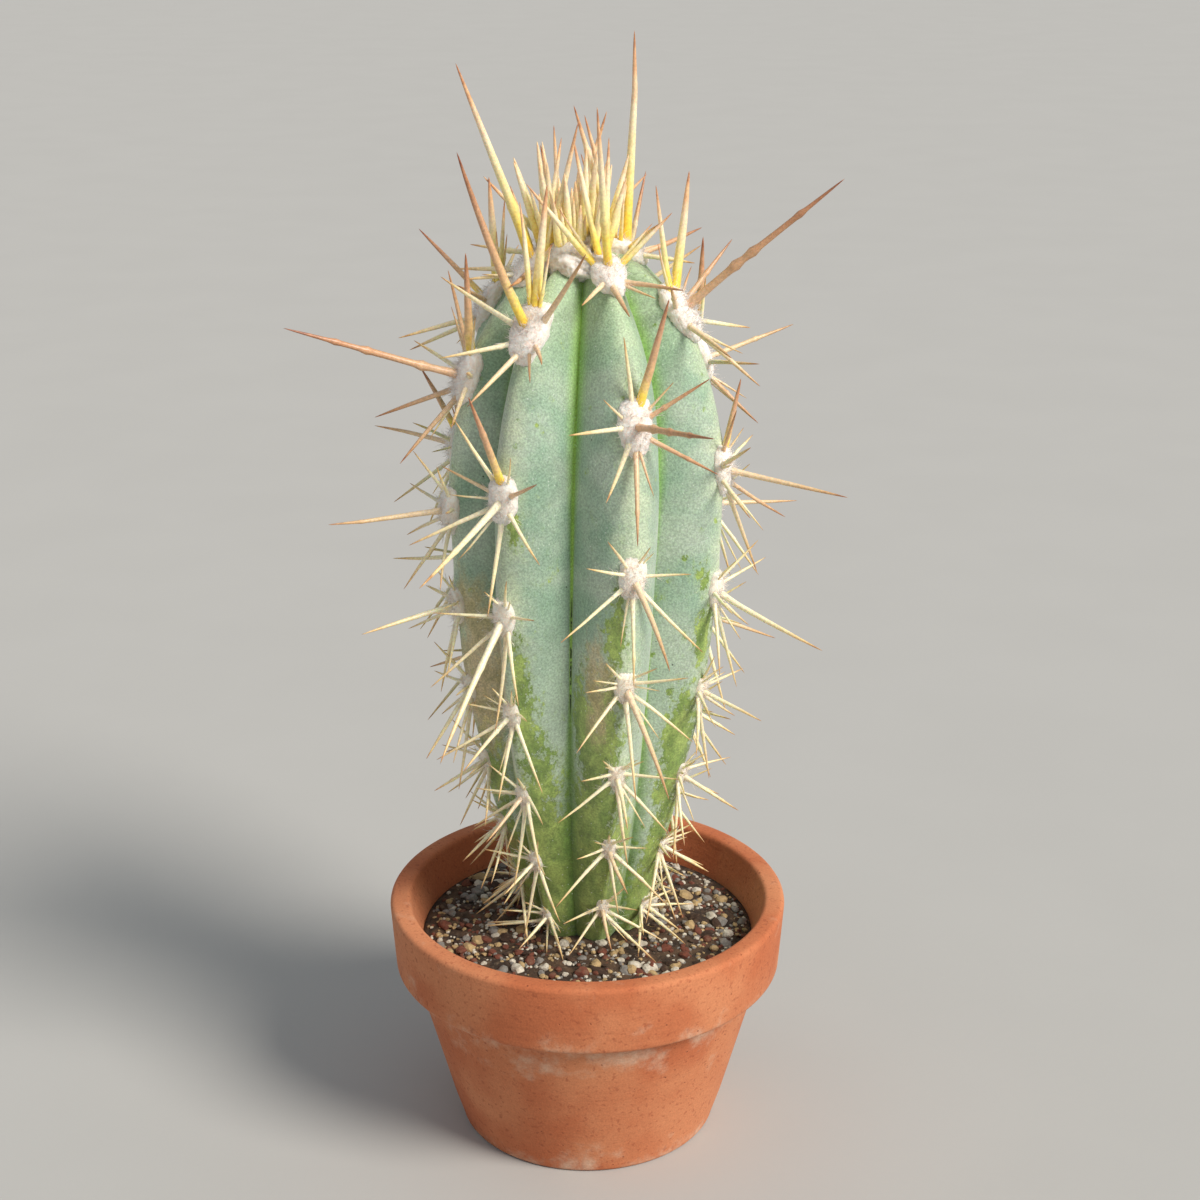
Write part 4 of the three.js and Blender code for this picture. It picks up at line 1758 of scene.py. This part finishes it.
@dataclass(frozen=True)
class Pot:
    """A plain low clay pot with a rim band and a drain hole."""

    axis: tuple[float, float]
    height: float = 58.0
    foot_radius: float = 31.0
    body_radius: float = 42.0
    rim_radius: float = 47.0
    rim_flare: float = 1.0
    rim_depth: float = 17.0
    wall: float = 4.5
    floor: float = 5.0
    edge: float = 1.2
    drain_radius: float = 6.0
    sides: int = 160
    unevenness: float = 0.12

    @property
    def band_foot(self) -> float:
        """Height of the rim band's lower edge."""
        return self.height - self.rim_depth

    def inner_radius(self, height: float) -> float:
        """Gives the inside's radius at a height above the pot's foot."""
        return mix(self.foot_radius, self.body_radius, height / self.band_foot) - self.wall

    def corner(self, radius: float, height: float, start: float) -> list[tuple[float, float]]:
        """Makes a rounded edge, a quarter round.

        Args:
            radius: Radius of the rounding's centre about the pot's axis.
            height: Height of that centre.
            start: The angle that it starts at, in degrees from outwards to up.

        Returns:
            Its points.
        """
        angles = [math.radians(start + 90 * share / 4) for share in range(5)]
        return [(radius + self.edge * math.cos(a), height + self.edge * math.sin(a)) for a in angles]

    def make(self) -> bpy.types.Object:
        """Makes the piece.

        Returns:
            The pot.
        """
        edge, foot, top = self.edge, self.band_foot, self.height
        band = self.rim_radius - self.rim_flare
        outline = [(self.drain_radius, 0.0), *self.corner(self.foot_radius - edge, edge, -90)]
        for share in (0.2, 0.4, 0.6, 0.8, 0.97):
            outline.append((mix(self.foot_radius, self.body_radius, share), foot * share))
        outline += [(self.body_radius, foot - 0.2), (self.body_radius + 0.3, foot)]
        outline += self.corner(band - edge, foot + edge, -90)
        outline += [(mix(band, self.rim_radius, 0.5), top - self.rim_depth / 2)]
        outline += self.corner(self.rim_radius - edge, top - edge, 0)
        outline += self.corner(self.inner_radius(top) + edge, top - edge, 90)
        for share in (0.9, 0.75, 0.5, 0.25):
            outline.append((self.inner_radius(top * share), top * share))
        outline += [(self.inner_radius(self.floor), self.floor), (self.drain_radius, self.floor)]
        places, faces = turned(outline, self.sides)

        # Water leaves its salts under the rim band, round the foot and on the rim's top.
        height = places[:, 2] / top
        damp = 0.3 * bell(height - 0.66, 0.14) + 0.26 * bell(height, 0.16) + 0.12 * (height > 0.97)
        away = np.linalg.norm(places[:, :2], axis=1)
        pressed = 1 - self.unevenness * (0.5 + 0.5 * lumps(places, 30)) / np.maximum(away, 1)
        places[:, :2] *= pressed[:, None]
        made = Gathered()
        made.add(places + np.array([*self.axis, 0.0]), faces, damp=damp)
        return made.piece("clay_pot", FiredClay().make(), "pot", "clay")


@dataclass(frozen=True)
class Soil:
    """Potting mix that fills the pot, with loose grains on its rough top."""

    form: Form
    pot: Pot
    gap: float = 0.3
    fall: float = 2.5
    hole_radius: float = 13.0
    core_radius: float = 0.3
    sides: int = 192
    ring_count: int = 30
    roughness: float = 0.55
    bank: float = 0.5
    bank_width: float = 0.12
    stem_gap: float = 0.25
    hug_columns: int = 24
    fine_grains: int = 1700
    fine_size: float = 0.28
    fine_size_spread: float = 0.4
    coarse_grains: int = 440
    coarse_size: float = 0.7
    coarse_size_spread: float = 0.9
    stone_shape: tuple[float, float] = (1.2, 0.75)
    bark_shape: tuple[float, float] = (1.9, 0.45)
    brokenness: float = 0.35
    tilt: float = 0.5
    fine_kinds: float = 3.999
    raised_share: float = 0.1
    pot_gap: float = 0.4

    @property
    def wall(self) -> float:
        """The radius at which the soil's top meets the pot."""
        return self.pot.inner_radius(self.form.soil - self.fall) - self.gap

    def hug(self, azimuth: Array) -> Array:
        """Gives the stem's radius where it leaves the soil.

        Args:
            azimuth: Degrees round from the plant's front.

        Returns:
            The radius about the plant's axis.
        """
        phase = np.tile(np.linspace(-1, 1, self.hug_columns, endpoint=False), len(RIBS))
        rib = np.repeat(np.arange(len(RIBS)), self.hug_columns)
        places, _, found, _ = self.form.skin(rib, phase, np.zeros(len(rib)))
        radius = np.linalg.norm((places - self.form.base)[:, :2], axis=1)
        return np.interp(azimuth, found, radius, period=360)

    def top(self, radius: Any) -> Any:
        """Gives the height of the soil at a distance from the plant's axis, without grains."""
        share = np.clip((radius - self.hole_radius) / (self.wall - self.hole_radius), 0, 1)
        return self.form.soil - self.fall * share * share

    def bed(self) -> bpy.types.Object:
        """Makes the mix itself.

        Returns:
            The piece.
        """
        bottom = self.pot.floor + self.gap
        hole_floor = self.form.soil - self.form.rooted_depth - self.gap
        outline = [(self.core_radius, bottom), (self.pot.inner_radius(bottom) - self.gap, bottom)]
        first, last = len(outline), len(outline) + self.ring_count
        for ring in range(self.ring_count + 1):
            outline.append((mix(self.wall, self.hole_radius, ring / self.ring_count), 0.0))
        outline += [(self.hole_radius, hole_floor), (self.core_radius, hole_floor)]
        places, faces = turned(outline, self.sides)
        rough = lumps(places, 5.0) + 0.8 * lumps(places, 2.2, 3.0) + 0.4 * lumps(places, 1.0, 5.0)

        # The top is drawn in to the stem's lobed outline, where it is banked up a little.
        grid, rough = places.reshape(-1, self.sides, 3), rough.reshape(-1, self.sides)
        round_ = 360 * np.arange(self.sides) / self.sides
        inner = self.hug(round_) + self.stem_gap
        for ring in range(first, last + 1):
            share = (ring - first) / self.ring_count
            radius = mix(self.wall, inner, share)
            grid[ring] = heading(round_) * radius[:, None]
            grid[ring, :, 2] = self.top(radius)
            if first < ring:
                banked = self.bank * bell(1 - share, self.bank_width)
                grid[ring, :, 2] += self.roughness * rough[ring] + banked
        made = Gathered()
        made.add(places + np.array([*self.form.axis, 0.0]), faces)
        return made.piece("soil_bed", PottingMix().make(), "soil", "soil")

    def grain(self, number: int, mesh: tuple[Array, Array], made: Gathered) -> None:
        """Adds one loose grain. Bark, the last kind, is coarse alone.

        Args:
            number: Its number. The coarse ones come first.
            mesh: The ball that it is broken from, as points and triangles.
            made: What it is added to.
        """
        kinds, big, seed = list(Grain), number < self.coarse_grains, 20000 + 11 * number
        kind = kinds[int(draw(seed) * (len(kinds) if big else self.fine_kinds))]
        if big:
            size = self.coarse_size + self.coarse_size_spread * draw(seed + 1) ** 2
        else:
            size = self.fine_size + self.fine_size_spread * draw(seed + 1)
        points, faces = mesh
        long, flat = self.bark_shape if kind is Grain.BARK else self.stone_shape
        shaped = points * np.array([size * long, size, size * flat])
        shaped *= (1 + self.brokenness * lumps(points, 0.9, seed))[:, None]
        angle, tilt = 2 * math.pi * draw(seed + 2), self.tilt * spread(seed + 3)
        cosine, sine = math.cos(angle), math.sin(angle)
        turn = np.array([[cosine, sine, 0], [-sine, cosine, 0], UP])
        cosine, sine = math.cos(tilt), math.sin(tilt)
        tip = np.array([[cosine, 0, sine], [0, 1, 0], [-sine, 0, cosine]])
        azimuth = 360 * draw(seed + 5)
        inner, outer = self.hug(azimuth) + size * long, self.wall - self.pot_gap - size * long
        away = math.sqrt(mix(inner * inner, outer * outer, draw(seed + 4)))
        place = heading(azimuth) * away + (self.top(away) + size * self.raised_share) * UP
        place[:2] += self.form.axis
        made.add(shaped @ tip @ turn + place, faces, grain=kind.value[0])

    def grains(self) -> bpy.types.Object:
        """Makes the loose grains.

        Returns:
            The piece.
        """
        coarse, fine = ball(2), ball(1)
        made = Gathered()
        for number in range(self.coarse_grains + self.fine_grains):
            self.grain(number, coarse if number < self.coarse_grains else fine, made)
        return made.piece("grit", BrokenGrit().make(), "soil", "soil", smooth=False)


# The picture


@dataclass(frozen=True)
class Studio:
    """The camera, a soft key light, a pale sky for fill and a plain pale floor."""

    axis: tuple[float, float]
    elevation: float = 20.0
    distance: float = 480.0
    aim_right: float = 3.0
    aim_height: float = 131.8
    lens: float = 63.36
    sensor: float = 36.0
    nearest_metres: float = 0.02
    farthest_metres: float = 40.0
    floor_metres: float = 12.0
    key_azimuth: float = 54.0
    key_elevation: float = 40.0
    key_strength: float = 3.8
    key_softness: float = 24.0
    key_colour: tuple[float, float, float] = (1.0, 0.955, 0.9)
    sky_colour: str = "#e6eef7"
    sky_strength: float = 0.48

    def camera(self) -> None:
        """Adds the camera, at the photograph's angle."""
        aim = np.array([self.axis[0] + self.aim_right, self.axis[1], self.aim_height])
        place = aim + self.distance * heading(0.0, self.elevation)
        data = bpy.data.cameras.new("camera")
        data.lens, data.sensor_width = self.lens, self.sensor
        data.clip_start, data.clip_end = self.nearest_metres, self.farthest_metres
        made = bpy.data.objects.new("camera", data)
        made.location = place * MM
        made.rotation_euler = Vector(aim - place).to_track_quat("-Z", "Y").to_euler()
        bpy.context.scene.collection.objects.link(made)
        bpy.context.scene.camera = made

    def light(self) -> None:
        """Adds the key light and the sky."""
        data = bpy.data.lights.new("key", "SUN")
        data.energy, data.angle = self.key_strength, math.radians(self.key_softness)
        data.color = self.key_colour
        made = bpy.data.objects.new("key", data)
        towards = Vector(heading(self.key_azimuth, self.key_elevation))
        made.rotation_euler = towards.to_track_quat("Z", "Y").to_euler()
        bpy.context.scene.collection.objects.link(made)
        world = bpy.data.worlds.new("sky")
        world.use_nodes = True
        sky = world.node_tree.nodes["Background"]
        sky.inputs["Color"].default_value = linear(self.sky_colour)
        sky.inputs["Strength"].default_value = self.sky_strength
        bpy.context.scene.world = world
        bpy.context.scene.view_settings.view_transform = "Standard"

    def floor(self) -> None:
        """Adds the floor."""
        half = self.floor_metres / 2
        mesh = bpy.data.meshes.new("floor")
        corners = [(-half, -half, 0), (half, -half, 0), (half, half, 0), (-half, half, 0)]
        mesh.from_pydata(corners, [], [[0, 1, 2, 3]])
        mesh.materials.append(PaintedBoard().make())
        made = bpy.data.objects.new("floor", mesh)
        bpy.context.scene.collection.objects.link(made)


def pot_axis() -> tuple[float, float]:
    """Finds the pot's axis in the model's frame.

    Returns:
        Its x and y in millimetres.
    """
    low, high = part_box("pot")
    return (low[0] + high[0]) / 2 / MM, (low[1] + high[1]) / 2 / MM


def main() -> None:
    """Builds the pieces, then the picture."""
    logging.basicConfig(level=logging.INFO, format="%(name)s: %(message)s")
    axis = pot_axis()
    LOG.info("the pot's axis is at %.2f, %.2f mm", *axis)
    form = Form(axis)
    areoles = form.areoles()
    spines = Spines(Leaders(form), Radials(form), Tuft(form), Needle(), areoles)
    Stem(form, Relief(areoles), Wear()).make()
    Wool(form, areoles, spines).make()
    spines.make()
    pot = Pot(axis)
    pot.make()
    soil = Soil(form, pot)
    soil.bed()
    soil.grains()
    studio = Studio(axis)
    studio.camera()
    studio.light()
    studio.floor()


if __name__ == "__main__":
    main()
